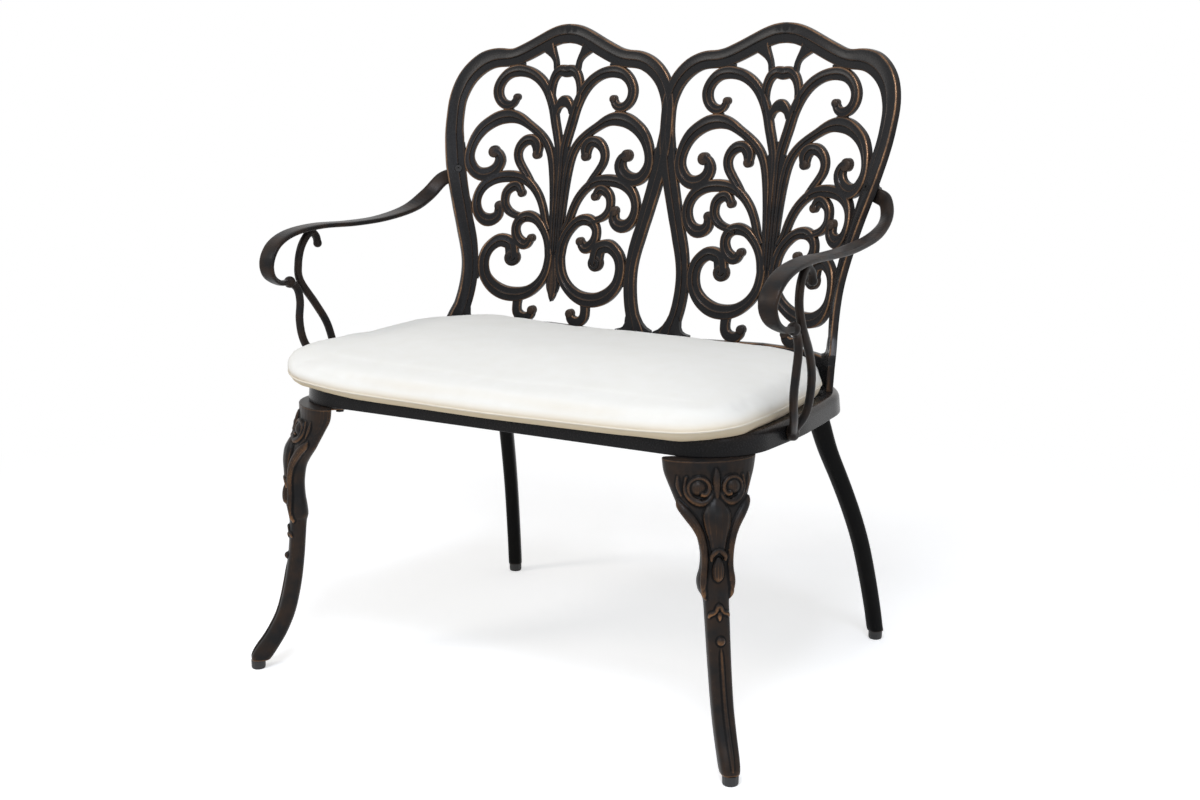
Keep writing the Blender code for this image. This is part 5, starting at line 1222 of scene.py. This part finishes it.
# %% Lay the pad over the rim
PAD_ROLL = 0.20              # the pad reaches its full height this far inside its edge
LEFT_RISE, CORNER_RISE = 0.005, 0.004     # it rides up at its left rear and at its front left corner
RIGHT_SINK = 0.0035          # and sinks to the rim at its right end
SETTLE_ROUNDS = 160
inside, under, edge = pad_edge(spots)
height = spots[:, 2] - under
left_rear = ease((-spots[:, 0] - 0.10) / 0.15) * ease((spots[:, 1] + 0.10) / 0.12)
corner = ease((-spots[:, 0] - 0.20) / 0.12) * ease((pad_front + 0.14 - spots[:, 1]) / 0.06)
height *= 0.25 + 0.75 * ease(height / 0.014)
spots[:, 2] = under + height * (edge + (1 - edge) * ease(inside / PAD_ROLL))
spots[:, 2] += LEFT_RISE * left_rear * np.clip(height / 0.045, 0, 1)
spots[:, 2] += CORNER_RISE * corner * ease((0.030 - inside) / 0.030)
spots[:, 2] -= RIGHT_SINK * ease((spots[:, 0] - 0.22) / 0.08) * ease((0.035 - inside) / 0.020)
move_points(pad, spots)
looks_up = ease(2 * points_of(pad, "normal")[:, 2])
settle(pad, ease((inside - 0.03) / 0.05) * looks_up, SETTLE_ROUNDS)
print("pad from", np.round(spots.min(0), 3), "to", np.round(spots.max(0), 3))

# %% Fill the pad
FILL_LIMIT = 0.004                    # no point moves farther than this
FILL_PRESSURE, FILL_STEPS = 4.0, 20
PUCKER, PUCKER_MM = 0.0012, 70.0      # soft unevenness of the filled cover
before = points_of(pad)
cloth = pad.modifiers.new("filling", "CLOTH")
cloth.settings.use_pressure = True
cloth.settings.uniform_pressure_force = FILL_PRESSURE
cloth.settings.effector_weights.gravity = 0.0
cloth.settings.quality = 4
cloth.point_cache.frame_start, cloth.point_cache.frame_end = 1, FILL_STEPS
for step in range(1, FILL_STEPS + 1):
    scene.frame_set(step)
pick(pad)
bpy.ops.object.modifier_apply(modifier=cloth.name)
scene.frame_set(1)
moved = points_of(pad) - before
length = np.maximum(np.linalg.norm(moved, axis=1, keepdims=True), 1e-9)
held = before + moved * np.minimum(1.0, FILL_LIMIT / length)
for spot in held:
    share = min(max((spot[2] - SEAT_TOP) / 0.02, 0), 1)
    spot[2] += PUCKER * noise.noise(Vector(spot) / (PUCKER_MM * MM)) * share
move_points(pad, held)
apply(pad, "SUBSURF", levels=1)
print("filling moved the pad", round(float(np.minimum(length, FILL_LIMIT).max()) * 1000, 1), "mm at most")

# %% Painted shade along the lower edge
UNDER_SHADE_TAN, LIP_SHADE_TAN = 0.85, 0.7        # share of the tan on faces that look down, and along the lip
LIP_TOP, LIP_FADE = 0.025, 0.016      # the lip's tan ends this high above the underside, and fades over this
BAND, BAND_FADE = 0.034, 0.02         # all of it stays this close to the edge
spots = points_of(pad)
inside, under, edge = pad_edge(spots)
# painted shade: faces that look down, and the lip near the underside, turn tan
shade_below = UNDER_SHADE_TAN * ease(0.3 - points_of(pad, "normal")[:, 2])
lip = LIP_SHADE_TAN * ease((LIP_TOP - spots[:, 2] + under) / LIP_FADE)
keep(pad, "low", np.maximum(shade_below, lip) * ease((BAND - inside) / BAND_FADE))
print("tan along", round(float((inside < BAND).mean()), 2), "of the pad")

# %% Sew the welt
WELT_RADIUS, WELT_TONE, WELT_RINGS = 0.0013, 0.4, 420
PAD_EDGE_HEIGHT = 0.043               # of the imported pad
hull = spots[(spots[:, :2] @ OUTWARD).argmax(0), :2]
hull = np.vstack([hull, hull[:1]])
run = np.append(0.0, np.cumsum(np.linalg.norm(np.diff(hull, axis=0), axis=1)))
stops = np.linspace(0.0, run[-1], WELT_RINGS, endpoint=False)
line = np.stack([np.interp(stops, run, hull[:, 0]), np.interp(stops, run, hull[:, 1]), 0 * stops], axis=1)
_, under, edge = pad_edge(line)
line[:, 2] = under + 0.5 * edge * (PAD_EDGE_HEIGHT + SEAT_TOP + SEAM - under)
rings = []
for spot in line:
    out = np.array((*OUTWARD[:, (pad_reach - spot[:2] @ OUTWARD).argmin()], 0.0))
    found, place, _, _ = pad.ray_cast(Vector(spot + out * 0.03), Vector(-out))
    if found:
        middle = np.array(place)
        rings.append([middle + out * (WELT_RADIUS * math.cos(t)) + np.array((0, 0, WELT_RADIUS * math.sin(t)))
                      for t in round_angles(10)])
welt = skin("pad_welt", rings, closed=True)
# the welt takes part of the same tan of painted shade
keep(welt, "low", np.full(len(welt.data.vertices), WELT_TONE))
pick(pad)
welt.select_set(True)
bpy.ops.object.join()
bpy.ops.object.shade_smooth()
paint(pad, canvas)
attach(pad, "pad")
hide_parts("cushion")
print(pad.name, len(pad.data.polygons), "faces, welt of", len(rings), "rings")
